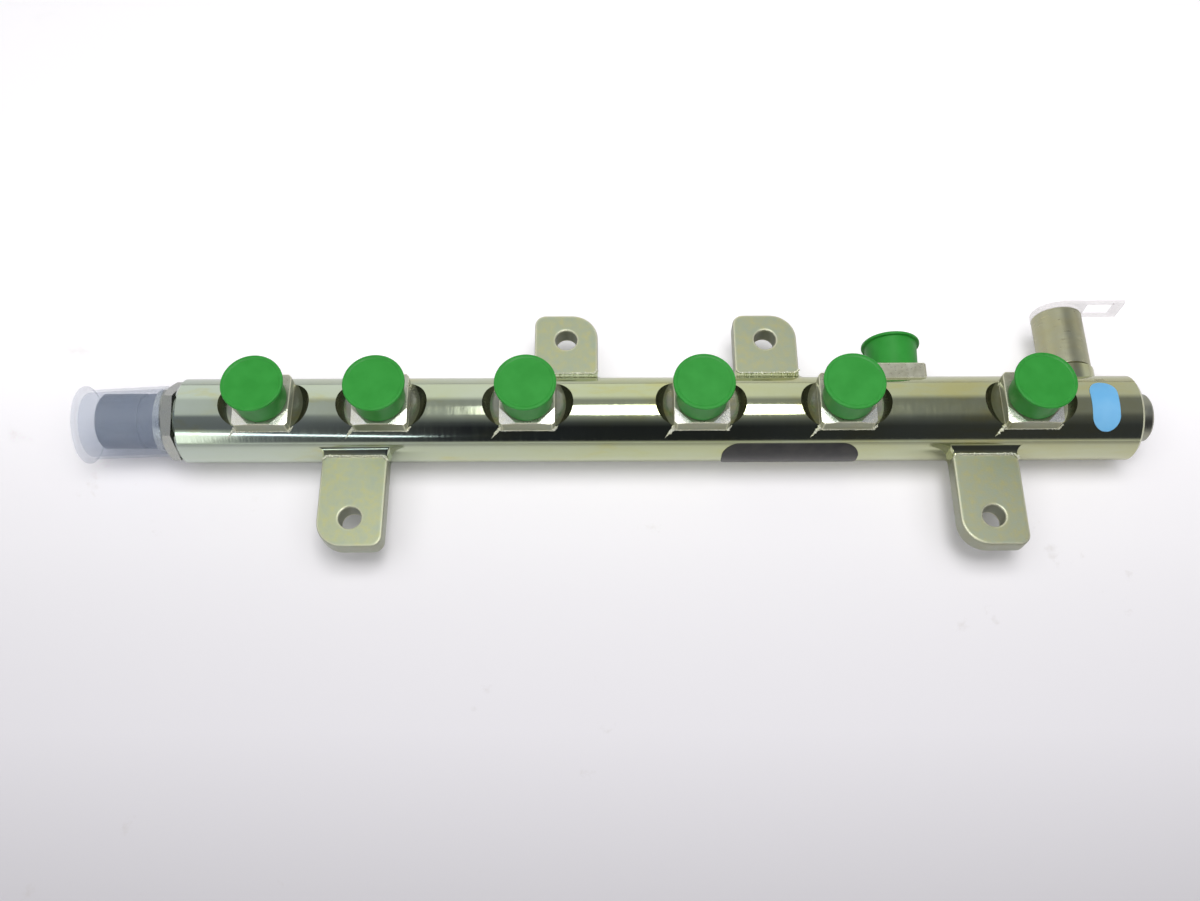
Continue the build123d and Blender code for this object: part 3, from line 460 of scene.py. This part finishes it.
# %% [markdown]
# ## Plastics, plate and label
#
# The caps are soft moulded polyethylene: a saturated green that lets a little light through, with
# the faint grain of the mould. The sensor's cover is the same plastic without pigment, and the
# valve's plug is clear PVC. The plate is lacquered aluminium and the label printed film. Broad
# noise varies the colour a little, and fine noise in the bump makes the mould's grain.


# %% Moulded plastics
def moulded(name, colour, shade, grain_mm, relief_strength, **constants):
    """Moulded plastic: a hardly varying colour with the grain that the mould left."""
    material, tree, shader = new_material(name, **constants)
    place = add(tree, "ShaderNodeTexCoord").outputs["Object"]
    flow = add(tree, "ShaderNodeTexNoise", {
        "Vector": place, "Scale": 1000 / (grain_mm * 12), "Detail": 2.0})
    flowed = add(tree, "ShaderNodeValToRGB", {"Fac": flow.outputs[0]}, [
        (0.35, linear(colour)), (0.65, linear(shade))])
    tree.links.new(flowed.outputs[0], shader.inputs["Base Color"])
    grain = add(tree, "ShaderNodeTexNoise", {"Vector": place, "Scale": 1000 / grain_mm, "Detail": 2.0})
    relief = add(tree, "ShaderNodeBump", {
        "Height": grain.outputs[0], "Strength": relief_strength, "Distance": RELIEF_DEPTH})
    tree.links.new(relief.outputs[0], shader.inputs["Normal"])
    return material


# Caps: soft polyethylene, satin, with a little light under its skin.
cap_green = moulded("moulded_green_polyethylene", "#2A8F30", "#329738", 0.6, 0.12,
                    Roughness=0.42, Specular_IOR_Level=0.3, Subsurface_Weight=0.08,
                    Subsurface_Radius=(0.002, 0.004, 0.002), Subsurface_Scale=0.3)
# Sensor cover: the same without pigment, a milky skin that the connector shows through.
milky_cover = moulded("moulded_milky_polyethylene", "#CEDAEE", "#C2D0E8", 1.2, 0.08,
                      Roughness=0.34, Alpha=0.21)
# Valve plug: clear PVC, glossier, seen mostly by its rims.
clear_pvc = moulded("moulded_clear_pvc", "#EFE6E6", "#E6DCDD", 1.5, 0.05, Roughness=0.12, Alpha=0.24)
# Connector: glass-filled polyamide, nearly black and matt.
connector_black = moulded("moulded_black_polyamide", "#161C2B", "#1C2436", 0.5, 0.2, Roughness=0.5)
# Data plate and label: thin sheets, one under dark lacquer and one printed pale blue.
plate_lacquer = moulded("lacquered_plate", "#2C2C2B", "#373633", 0.4, 0.1, Roughness=0.34, Metallic=0.3)
label_film = moulded("printed_blue_film", "#70B8EA", "#7ABEEC", 0.5, 0.1, Roughness=0.42)
mouldings = (cap_green, milky_cover, clear_pvc, connector_black, plate_lacquer, label_film)
print("plastics and sheets:", [moulding.name for moulding in mouldings])

# %% [markdown]
# ## Pieces that a lathe would make
#
# Caps, sleeves and collars are bodies of revolution. Their corners are never knife-sharp, and the
# thin bright line on a rounded rim is what tells the eye their size. So each profile is written as
# corners with a fillet each, the fillets become short arcs, and the line is turned round an axis.


# %% Rounded profiles and the lathe
# Points nearer than this are one point, in metres: first for what is drawn here, then for the
# loose triangles of a solid.
TOUCHING, SEAM = 1e-7, 2e-6


def rounded_line(corners, steps=5):
    """(radius, height, fillet) corners in millimetres to a closed line with arcs in its corners.

    A fillet takes no more than about half of either side, so that two never overlap.
    """
    points = []
    count = len(corners)
    for i, (r, h, fillet) in enumerate(corners):
        here = Vector((r, h))
        back = (Vector(corners[i - 1][:2]) - here)
        ahead = (Vector(corners[(i + 1) % count][:2]) - here)
        if fillet == 0:
            points.append(here)
            continue
        half = back.angle(ahead) / 2
        reach = min(fillet / math.tan(half), back.length * 0.49, ahead.length * 0.49)
        radius = reach * math.tan(half)
        centre = here + (back.normalized() + ahead.normalized()).normalized() * (radius / math.sin(half))
        first = here + back.normalized() * reach - centre
        sweep = math.pi - 2 * half
        turn_way = 1 if back.x * ahead.y - back.y * ahead.x < 0 else -1
        for k in range(steps + 1):
            a = turn_way * sweep * k / steps
            points.append(centre + Vector((first.x * math.cos(a) - first.y * math.sin(a),
                                           first.x * math.sin(a) + first.y * math.cos(a))))
    return points


def lathe(name, corners, origin, axis, steps=128):
    """Turns a rounded profile round an axis through origin, in metres, as a closed skin."""
    axis = Vector(axis).normalized()
    frame_turn = axis.to_track_quat("Z", "Y").to_matrix()
    line = [p * MM for p in rounded_line(corners)]
    skin = bmesh.new()
    rings = []
    for p in line:
        if p.x < TOUCHING:
            rings.append([skin.verts.new(Vector(origin) + frame_turn @ Vector((0, 0, p.y)))])
        else:
            rings.append([skin.verts.new(Vector(origin) + frame_turn @ Vector(
                (p.x * math.cos(2 * math.pi * k / steps), p.x * math.sin(2 * math.pi * k / steps), p.y)))
                for k in range(steps)])
    for one, two in zip(rings, rings[1:] + rings[:1]):
        if len(one) == 1 and len(two) == 1:
            continue
        for k in range(steps):
            n = (k + 1) % steps
            corners_of_face = [one[k % len(one)], one[n % len(one)], two[n % len(two)], two[k % len(two)]]
            face = list(dict.fromkeys(corners_of_face))
            if len(face) > 2:
                skin.faces.new(face)
    bmesh.ops.remove_doubles(skin, verts=skin.verts, dist=TOUCHING)
    bmesh.ops.recalc_face_normals(skin, faces=skin.faces)
    mesh = bpy.data.meshes.new(name)
    skin.to_mesh(mesh)
    skin.free()
    return link(name, mesh)


def link(name, mesh):
    """Puts a mesh in the scene as a piece at the origin."""
    piece = bpy.data.objects.new(name, mesh)
    bpy.context.scene.collection.objects.link(piece)
    return piece


def baked(piece):
    """Swaps a piece's live modifiers for the plain mesh that they make."""
    bpy.context.view_layer.update()
    whole_mesh = bpy.data.meshes.new_from_object(piece.evaluated_get(bpy.context.evaluated_depsgraph_get()))
    piece.modifiers.clear()
    old = piece.data
    piece.data = whole_mesh
    if old.users == 0:
        bpy.data.meshes.remove(old)
    return piece


def even_shading(piece, sharp_degrees=32):
    """Smooth shading in which the large flat faces keep their own direction."""
    piece.data.shade_smooth()
    piece.data.set_sharp_from_angle(angle=math.radians(sharp_degrees))
    weighting = piece.modifiers.new("flat_faces_first", "WEIGHTED_NORMAL")
    weighting.keep_sharp = True
    weighting.weight = 80
    return baked(piece)


def dress(piece, material, body, slot, *replaced):
    """Gives a finished piece its material, the body it rides on and the solids it stands for."""
    if material is not None:
        piece.data.materials.clear()
        piece.data.materials.append(material)
    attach(piece, body)
    if replaced:
        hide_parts(*replaced)
    print(piece.name, "faces", len(piece.data.polygons))


# %% [markdown]
# ## The rail
#
# The rail is one forging: a round tube with square bosses, pockets and tabs. Its exact solid comes
# with the frame as loose triangles, so a copy is merged into one skin before it is cut or shaded.


# %% The forging as one skin
def merged_copy(node, name):
    """A copy of a solid, as a new piece, whose triangles are joined into one skin."""
    skin = bmesh.new()
    skin.from_mesh(nodes[node].data)
    bmesh.ops.remove_doubles(skin, verts=skin.verts, dist=SEAM)
    mesh = bpy.data.meshes.new(name)
    skin.to_mesh(mesh)
    skin.free()
    stale = mesh.attributes.get("custom_normal")
    if stale is not None:
        mesh.attributes.remove(stale)
    return link(name, mesh)


# %% [markdown]
# The sealing faces of the ports have their two front corners broken at a shallow angle, so that
# each corner leans outward and catches the lamp where the flat face beside it does not. One wedge
# for each corner is taken away with a Boolean, which leaves true facets for a finish of their own.

# %% Broken front corners of the bosses
# In millimetres: the height of a sealing face over the axis, how far from the port, x and y added
# up, a cut begins, and how much it falls for each further millimetre.
BOSS_TOP, CUT_START, CUT_FALL = 19.2, 14.4, 0.14
# A wedge is a triangle between these distances from the port, and as high as this over the axis.
WEDGE_NEAR, WEDGE_FAR, WEDGE_TOP = 0.9, 12.5, 24


def corner_cutter():
    """Wedges that slice the two front corners off every port's sealing face, leaning outward."""
    skin = bmesh.new()
    outline = ((WEDGE_FAR, WEDGE_NEAR), (WEDGE_NEAR, WEDGE_FAR), (WEDGE_FAR, WEDGE_FAR))
    for port in PORT_X:
        for side in (-1, 1):
            low = [skin.verts.new((
                port + side * x * MM, AXIS_Y - y * MM,
                AXIS_Z + (BOSS_TOP - CUT_FALL * (x + y - CUT_START)) * MM))
                for x, y in outline]
            high = [skin.verts.new((v.co.x, v.co.y, AXIS_Z + WEDGE_TOP * MM)) for v in low]
            skin.faces.new(low)
            skin.faces.new(high)
            for k in range(3):
                n = (k + 1) % 3
                skin.faces.new((low[k], low[n], high[n], high[k]))
    bmesh.ops.recalc_face_normals(skin, faces=skin.faces)
    mesh = bpy.data.meshes.new("corner_cutter")
    skin.to_mesh(mesh)
    skin.free()
    return link("corner_cutter", mesh)


def with_broken_corners(piece):
    """Takes the wedges away from the forging."""
    cutter = corner_cutter()
    slicing = piece.modifiers.new("broken_corners", "BOOLEAN")
    slicing.operation, slicing.solver, slicing.object = "DIFFERENCE", "EXACT", cutter
    baked(piece)
    bpy.data.objects.remove(cutter)
    print("faces with broken corners:", len(piece.data.polygons))
    return piece


# %% [markdown]
# The skin is a net of triangles, and a mirror shows every bend in a net. Wherever a triangle lies
# on the ground tube, its normals are pointed straight away from the axis, so that the reflections
# run as on a true bar. The sealing faces get plain flat normals.

# %% True normals
# How near to the tube's radius a point counts as ground, and how high over the axis a face that
# looks up is a sealing face.
GROUND_SLACK = 1.5e-5
SEALING_FACE_FROM = 18 * MM


def away_from_axis(point):
    """Direction from the rail's axis to a point, and its distance."""
    out = Vector((0, point.y - AXIS_Y, point.z - AXIS_Z))
    return out.normalized(), out.length


def true_tube_normals(piece):
    """Points the tube's own faces straight away from the axis and keeps the boss faces flat."""
    mesh = piece.data
    corner_normals = [Vector(n.vector) for n in mesh.corner_normals]
    tube_faces = 0
    for face in mesh.polygons:
        if face.center.z > AXIS_Z + SEALING_FACE_FROM and face.normal.z > 0.9:
            for corner in face.loop_indices:
                corner_normals[corner] = face.normal.copy()
            continue
        outs = [away_from_axis(mesh.vertices[v].co) for v in face.vertices]
        on_tube = all(abs(length - RAIL_RADIUS) < GROUND_SLACK for _, length in outs)
        middle, _ = away_from_axis(face.center)
        if on_tube and face.normal.dot(middle) > 0.97:
            tube_faces += 1
            for corner, (out, _) in zip(face.loop_indices, outs):
                corner_normals[corner] = out
    mesh.normals_split_custom_set(corner_normals)
    return tube_faces


rail_forging = even_shading(with_broken_corners(merged_copy("rail_body", "rail_forging")), 30)
print("tube faces", true_tube_normals(rail_forging))

# %% [markdown]
# Each face of the forging gets the finish of the tool that made it. Nothing but its place and the
# way it looks tell that tool: a tab's top looks up at the milled height, a boss's sides stand
# upright beside a port, a pocket's floor lies inside the tube's own radius, and so on.

# %% The finish of every face
GROUND, MILLED, FACED, POCKET, WALL, FORGED, CORNER = range(len(rail_metals))
# How far a face may lie off a surface and still count as part of it.
SKIN = 0.1 * MM
# Beyond these distances from the axis a tab's milled top, and its forged sides, begin.
TAB_TOP_FROM, TAB_SIDE_FROM = 12.5 * MM, 18.5 * MM
# Half the width of a boss or the inlet's block, and of the valve's seat, with a little to spare.
BLOCK_HALF, VALVE_HALF = 10.6 * MM, 11 * MM
# How far from a port its pocket's swept floor begins, and where the floor turns up into the wall.
FLOOR_FROM, WALL_FROM = 9.0 * MM, 14.6 * MM


def finish_of(face):
    """Number of the finish, in the order of rail_metals, that a face of the forging has."""
    x, y, z = face.center
    up = face.normal.z
    from_axis = abs(y - AXIS_Y)
    from_inlet = abs(x - INLET_X)
    from_port = min(abs(x - port) for port in PORT_X)
    round_port = min(math.hypot(x - port, y - AXIS_Y) for port in PORT_X)
    _, out = away_from_axis(face.center)
    proud = out > RAIL_RADIUS + SKIN
    if up > 0.97 and abs(z - PAD_TOP) < 1.2 * SKIN and from_axis > TAB_TOP_FROM:
        return MILLED
    if (z < PAD_TOP + 2 * SKIN and out > RAIL_RADIUS + 4 * MM and from_axis > TAB_SIDE_FROM
            and x < VALVE_X - VALVE_HALF):
        return FACED if y > AXIS_Y and from_inlet < BLOCK_HALF else FORGED
    if 0.9 < up < 0.9985 and z > AXIS_Z + 17 * MM:
        return CORNER
    if up > 0.999 and z > AXIS_Z + RAIL_RADIUS + 1.5 * MM:
        return FACED
    if y > AXIS_Y + 10 * MM and from_inlet < BLOCK_HALF and proud:
        return FACED
    if z > AXIS_Z + 12 * MM and from_port < BLOCK_HALF and proud and abs(up) < 0.3:
        return FORGED
    in_pocket = FLOOR_FROM < round_port < POCKET_RADIUS + SKIN
    if out < RAIL_RADIUS - SKIN / 2 and z > AXIS_Z + 6 * MM and in_pocket:
        # Pocket walls take the finish with painted shade.
        return WALL if round_port > WALL_FROM else POCKET
    return GROUND


rail_forging.data.materials.clear()
for finish in rail_metals:
    rail_forging.data.materials.append(finish)
for face in rail_forging.data.polygons:
    face.material_index = finish_of(face)
dress(rail_forging, None, "rail", "rail_zinc", "rail_body")

# %% [markdown]
# ## Burrs
#
# The milling cutter that flattens a tab stops in its root and pushes up a thin crinkled lip of metal there.
# The cutters that cleared the pockets left one along the foot of each boss. The fins at each boss's front
# corners, a long one on the left and a short one on the right, are painted highlight in part: bright beads
# that stand for the streak and the spot of light there. Such lips are short beads of uneven size strung on a
# line, so a geometry tree sets them: spacing, bead size and seed are its inputs, and an attribute on the
# line says how thick the lip is at each place.


# %% A tree that strings burr beads on lines
def burr_tree():
    """Beads of uneven size and turn along the edges of a mesh."""
    tree = bpy.data.node_groups.new("burr_beads", "GeometryNodeTree")
    inputs = (("Geometry", "Geometry"), ("Spacing", "Float"), ("Bead", "Float"), ("Seed", "Int"),
              ("Metal", "Material"))
    for name, kind in inputs:
        tree.interface.new_socket(name, in_out="INPUT", socket_type="NodeSocket" + kind)
    tree.interface.new_socket("Geometry", in_out="OUTPUT", socket_type="NodeSocketGeometry")
    given = add(tree, "NodeGroupInput").outputs
    line = add(tree, "GeometryNodeMeshToCurve", {"Mesh": given["Geometry"]})
    places = add(tree, "GeometryNodeCurveToPoints", {
        "Curve": line.outputs[0], "Length": given["Spacing"]}, mode="LENGTH")
    bead = add(tree, "GeometryNodeMeshIcoSphere", {"Radius": given["Bead"], "Subdivisions": 2})
    turn = add(tree, "FunctionNodeRandomValue", {
        "Seed": given["Seed"], 1: (6.28, 6.28, 6.28)}, data_type="FLOAT_VECTOR")
    swell = add(tree, "FunctionNodeRandomValue", {
        "Seed": given["Seed"], 0: (0.7, 0.5, 0.4), 1: (2.0, 1.1, 0.9)}, data_type="FLOAT_VECTOR")
    girth = add(tree, "GeometryNodeInputNamedAttribute", {"Name": "girth"}, data_type="FLOAT")
    scale = add(tree, "ShaderNodeVectorMath", {
        0: swell.outputs[0], "Scale": girth.outputs[0]}, operation="SCALE")
    strung = add(tree, "GeometryNodeInstanceOnPoints", {
        "Points": places.outputs["Points"], "Instance": bead.outputs["Mesh"],
        "Rotation": turn.outputs[0], "Scale": scale.outputs[0]})
    plain = add(tree, "GeometryNodeRealizeInstances", {"Geometry": strung.outputs[0]})
    bright = add(tree, "GeometryNodeSetMaterial", {"Geometry": plain.outputs[0], "Material": given["Metal"]})
    add(tree, "NodeGroupOutput", {"Geometry": bright.outputs[0]})
    return tree


def run_tree(piece, tree, values):
    """Gives a piece a geometry tree, sets its named inputs and keeps the mesh it makes."""
    growth = piece.modifiers.new(tree.name, "NODES")
    growth.node_group = tree
    for item in tree.interface.items_tree:
        if item.item_type == "SOCKET" and item.in_out == "INPUT" and item.name in values:
            growth[item.identifier] = values[item.name]
    return baked(piece)


# %% [markdown]
# The lines lie where a cutter left the metal: across each tab, just above the milled top, with
# its ends turned outward into the corners, and along the front foot of each boss. Each point of a
# line has a girth, by which the beads there are scaled.

# %% Where the burrs lie
# Everything here is in millimetres. The root's lip lies this far from the axis, turns outward by
# this much at its ends, reaches this far to each side of the hole and bends this far from its
# ends. It is highest in the middle.
LIP_FROM_AXIS, LIP_TURN, LIP_HALF, LIP_BEND = 17.6, 1.4, 12.4, 1.5
LIP_END_Z, LIP_BEND_Z, LIP_MIDDLE_Z = 8.2, 8.55, 8.6
LIP_GIRTHS = (0.8, 1.1, 0.9, 1.2, 1.6)
# The hole of each tab, by its X, and its side: -1 at the front and 1 behind.
TABS = ((-120.45, -1), (120.45, -1), (-40.15, 1), (39.25, 1))
# At each port, points by their X and Y from its centre, and a girth: the lip along the foot of the boss, the
# long fin off its left corner and the short one at its right corner. Both fins are painted highlight in
# part: their bright beads stand for a streak and a spot of light.
BOSS_BURRS = (
    ((-10.3, -10.4, 1.0), (0.0, -10.5, 0.5), (10.3, -10.4, 1.0)),
    ((-10.2, -9.4, 2.3), (-11.9, -11.0, 1.5), (-13.8, -12.7, 0.2)),
    ((9.9, -10.3, 1.9), (11.3, -9.2, 0.9)))
BEAD_SPACING, BEAD_RADIUS, BEAD_SEED = 0.26, 0.36, 7


def on_tube(x, y):
    """A point on the upper side of the tube, y measured from the axis, all in millimetres."""
    return (x, AXIS_Y / MM + y, AXIS_Z / MM + math.sqrt((RAIL_RADIUS / MM) ** 2 - y * y))


def root_lip(hole_x, side):
    """The line where the milled top of a tab ends in its root."""
    y = AXIS_Y / MM + side * LIP_FROM_AXIS
    end_y = y + side * LIP_TURN
    left, right = hole_x - LIP_HALF, hole_x + LIP_HALF
    return [
        (left, end_y, LIP_END_Z), (left + LIP_BEND, y, LIP_BEND_Z), (hole_x, y, LIP_MIDDLE_Z),
        (right - LIP_BEND, y, LIP_BEND_Z), (right, end_y, LIP_END_Z)]


lips = [(root_lip(hole_x, side), LIP_GIRTHS) for hole_x, side in TABS]
for port in PORT_X:
    for burr in BOSS_BURRS:
        lips.append(([on_tube(port / MM + x, y) for x, y, _ in burr], [girth for _, _, girth in burr]))
lip_mesh = bpy.data.meshes.new("edge_burrs")
corners, runs, girths = [], [], []
for line, line_girths in lips:
    start = len(corners)
    corners += [Vector(corner) * MM for corner in line]
    runs += [(start + k, start + k + 1) for k in range(len(line) - 1)]
    girths += line_girths
lip_mesh.from_pydata(corners, runs, [])
lip_mesh.attributes.new("girth", "FLOAT", "POINT").data.foreach_set("value", girths)
edge_burrs = link("edge_burrs", lip_mesh)
run_tree(edge_burrs, burr_tree(), {
    "Spacing": BEAD_SPACING * MM, "Bead": BEAD_RADIUS * MM, "Seed": BEAD_SEED, "Metal": burr_glint_zinc})
edge_burrs.data.shade_smooth()
dress(edge_burrs, None, "rail", "rail_zinc")

# %% [markdown]
# ## Transport caps
#
# All seven ports carry the same push-on cap: a slightly tapered skirt and a flanged disc with
# rounded rims. One cap is turned on the lathe, and a small geometry tree puts a copy on each
# port. Each is turned by its own angle about its axis, as caps pushed on by hand are.

# %% One cap, on its own axis
# In millimetres: heights over the rail's axis, radii of the bore and the disc, the disc's
# thickness and how far its middle is dished.
CAP_FOOT, CAP_HEIGHT = 19.5, 13.5
CAP_BORE, CAP_DISC, CAP_FLANGE, CAP_DISH = 8.2, 11.5, 1.3, 0.18
CAP_TOP = CAP_FOOT + CAP_HEIGHT
cap_master = lathe("cap_master", [
    (CAP_BORE, CAP_FOOT, 0.2), (9.7, CAP_FOOT, 0.3), (10.3, CAP_TOP - CAP_FLANGE, 0.35),
    (CAP_DISC, CAP_TOP - CAP_FLANGE, 0.4), (CAP_DISC, CAP_TOP, 0.5), (10.4, CAP_TOP - 0.02, 0.3),
    (9.9, CAP_TOP - CAP_DISH, 0.3), (0, CAP_TOP - CAP_DISH, 0), (0, CAP_TOP - 1.6, 0),
    (CAP_BORE, CAP_TOP - 1.6, 0.3)], (0, 0, 0), (0, 0, 1))
even_shading(cap_master)
print("cap faces", len(cap_master.data.polygons))


# %% A tree that sets a cap on every port
# Radians that each cap is turned further than the one before it.
CAP_TURN = 0.7


def caps_tree():
    """Instances of the cap on points that carry their own turn."""
    tree = bpy.data.node_groups.new("caps_on_ports", "GeometryNodeTree")
    for name, kind in (("Geometry", "Geometry"), ("Cap", "Object"), ("Plastic", "Material")):
        tree.interface.new_socket(name, in_out="INPUT", socket_type="NodeSocket" + kind)
    tree.interface.new_socket("Geometry", in_out="OUTPUT", socket_type="NodeSocketGeometry")
    given = add(tree, "NodeGroupInput")
    turned_by = add(tree, "GeometryNodeInputNamedAttribute", {"Name": "turn"}, data_type="FLOAT_VECTOR")
    cap = add(tree, "GeometryNodeObjectInfo", {"Object": given.outputs["Cap"]})
    set_on = add(tree, "GeometryNodeInstanceOnPoints", {
        "Points": given.outputs["Geometry"], "Instance": cap.outputs["Geometry"],
        "Rotation": turned_by.outputs["Attribute"]})
    plain = add(tree, "GeometryNodeRealizeInstances", {"Geometry": set_on.outputs[0]})
    coloured = add(tree, "GeometryNodeSetMaterial", {
        "Geometry": plain.outputs[0], "Material": given.outputs["Plastic"]})
    add(tree, "NodeGroupOutput", {"Geometry": coloured.outputs[0]})
    return tree


port_points = bpy.data.meshes.new("transport_caps")
port_points.from_pydata([(x, AXIS_Y, AXIS_Z) for x in PORT_X + [INLET_X]], [], [])
turns = port_points.attributes.new("turn", "FLOAT_VECTOR", "POINT")
for n in range(len(PORT_X)):
    turns.data[n].vector = (0, 0, CAP_TURN * n)
turns.data[len(PORT_X)].vector = (-math.pi / 2, 0, 0)
transport_caps = link("transport_caps", port_points)
run_tree(transport_caps, caps_tree(), {"Cap": cap_master, "Plastic": cap_green})
bpy.data.objects.remove(cap_master)
capped = ["port_cap_%d" % (n + 1) for n in range(len(PORT_X))] + ["inlet_cap"]
dress(transport_caps, None, "rail", "green_cap", *capped)

# %% [markdown]
# ## Sensor end
#
# The pressure sensor is screwed into the left end. A crimp ring holds its black connector, and a
# loose milky cover hangs over both. The cover is thin, so it is made as a real cup with a wall,
# an open rim that lies on the hexagon and a flanged closed end.

# %% Milky cover
# The open rim's distance from the rail's left end, and the cover's lean towards the front.
COVER_FROM_END = 6.08 * MM
COVER_TILT = math.radians(2.6)
cover_start = Vector((RAIL_LEFT - COVER_FROM_END, AXIS_Y, AXIS_Z))
cover_axis = Vector((-math.cos(COVER_TILT), -math.sin(COVER_TILT), 0))
sensor_cover = lathe("sensor_cover_cup", [
    (12.9, 0.0, 0.3), (13.9, 0.0, 0.4), (13.6, 31.4, 0.6), (15.2, 31.4, 0.6), (15.2, 33.0, 0.7),
    (12.6, 32.95, 0.3), (12.2, 32.7, 0.3), (0, 32.7, 0), (0, 31.4, 0), (12.6, 31.4, 0.8)],
    cover_start, cover_axis)
even_shading(sensor_cover)
dress(sensor_cover, milky_cover, "rail", "milky_cover", "sensor_cover")

# %% [markdown]
# ## Valve and plug
#
# The limiting valve is a turned sleeve with a broken outer edge and a narrower neck where it
# meets the rail, so the lathe makes it too, with its bore. The plug in the right end is a round
# head on a washer; its solid already has that shape and only gets its finish, further below.

# %% Valve sleeve
valve_foot = Vector((VALVE_X, AXIS_Y, AXIS_Z))
valve_sleeve = lathe("valve_sleeve", [
    (1.5, 9.5, 0), (7.0, 9.5, 0.3), (7.0, 19.1, 0), (8.8, 19.1, 0.1), (8.8, 19.9, 0.1), (9.7, 19.9, 0.3),
    (9.7, 44.8, 0.5), (5.2, 44.8, 0.3), (5.2, 29.7, 0), (4.5, 29.7, 0), (4.5, 14.1, 0), (1.5, 11.1, 0)],
    valve_foot, (0, 1, 0))
even_shading(valve_sleeve)
dress(valve_sleeve, valve_zinc, "rail", "valve_zinc", "valve_body")

# %% [markdown]
# Behind the valve's plunger stands a closing spring. Fuel above the set pressure lifts the plunger
# by about a millimetre and the spring gets shorter by as much, with its far end held by the shim.
# Its skin is a copy of the solid.

# %% Closing spring
closing_spring = even_shading(merged_copy("valve_spring", "closing_spring"), 40)
dress(closing_spring, spring_wire, "rail", "spring_steel", "valve_spring")
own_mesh(closing_spring)

# %% [markdown]
# The small screwed-in parts, the clear plug, the plate and the label need no new shape: their
# solids are drawn as they are, and each only gets the finish of its own metal or plastic.

# %% Finish for the solids that already have their shape
KEPT_SOLIDS = {
    "sensor_body": sensor_zinc, "sensor_seal_ring": soft_iron, "sensor_housing": connector_black,
    "sensor_pins": pin_brass, "valve_plunger": bright_steel, "valve_shim": bright_steel,
    "valve_retainer": bright_steel, "valve_outlet_cap": clear_pvc,
    "end_plug": dark_steel, "plug_washer": soft_iron, "data_plate": plate_lacquer, "blue_label": label_film}
for name, finish in KEPT_SOLIDS.items():
    for kept_slot in nodes[name].material_slots:
        kept_slot.material = finish
print("solids kept as they are:", len(KEPT_SOLIDS))
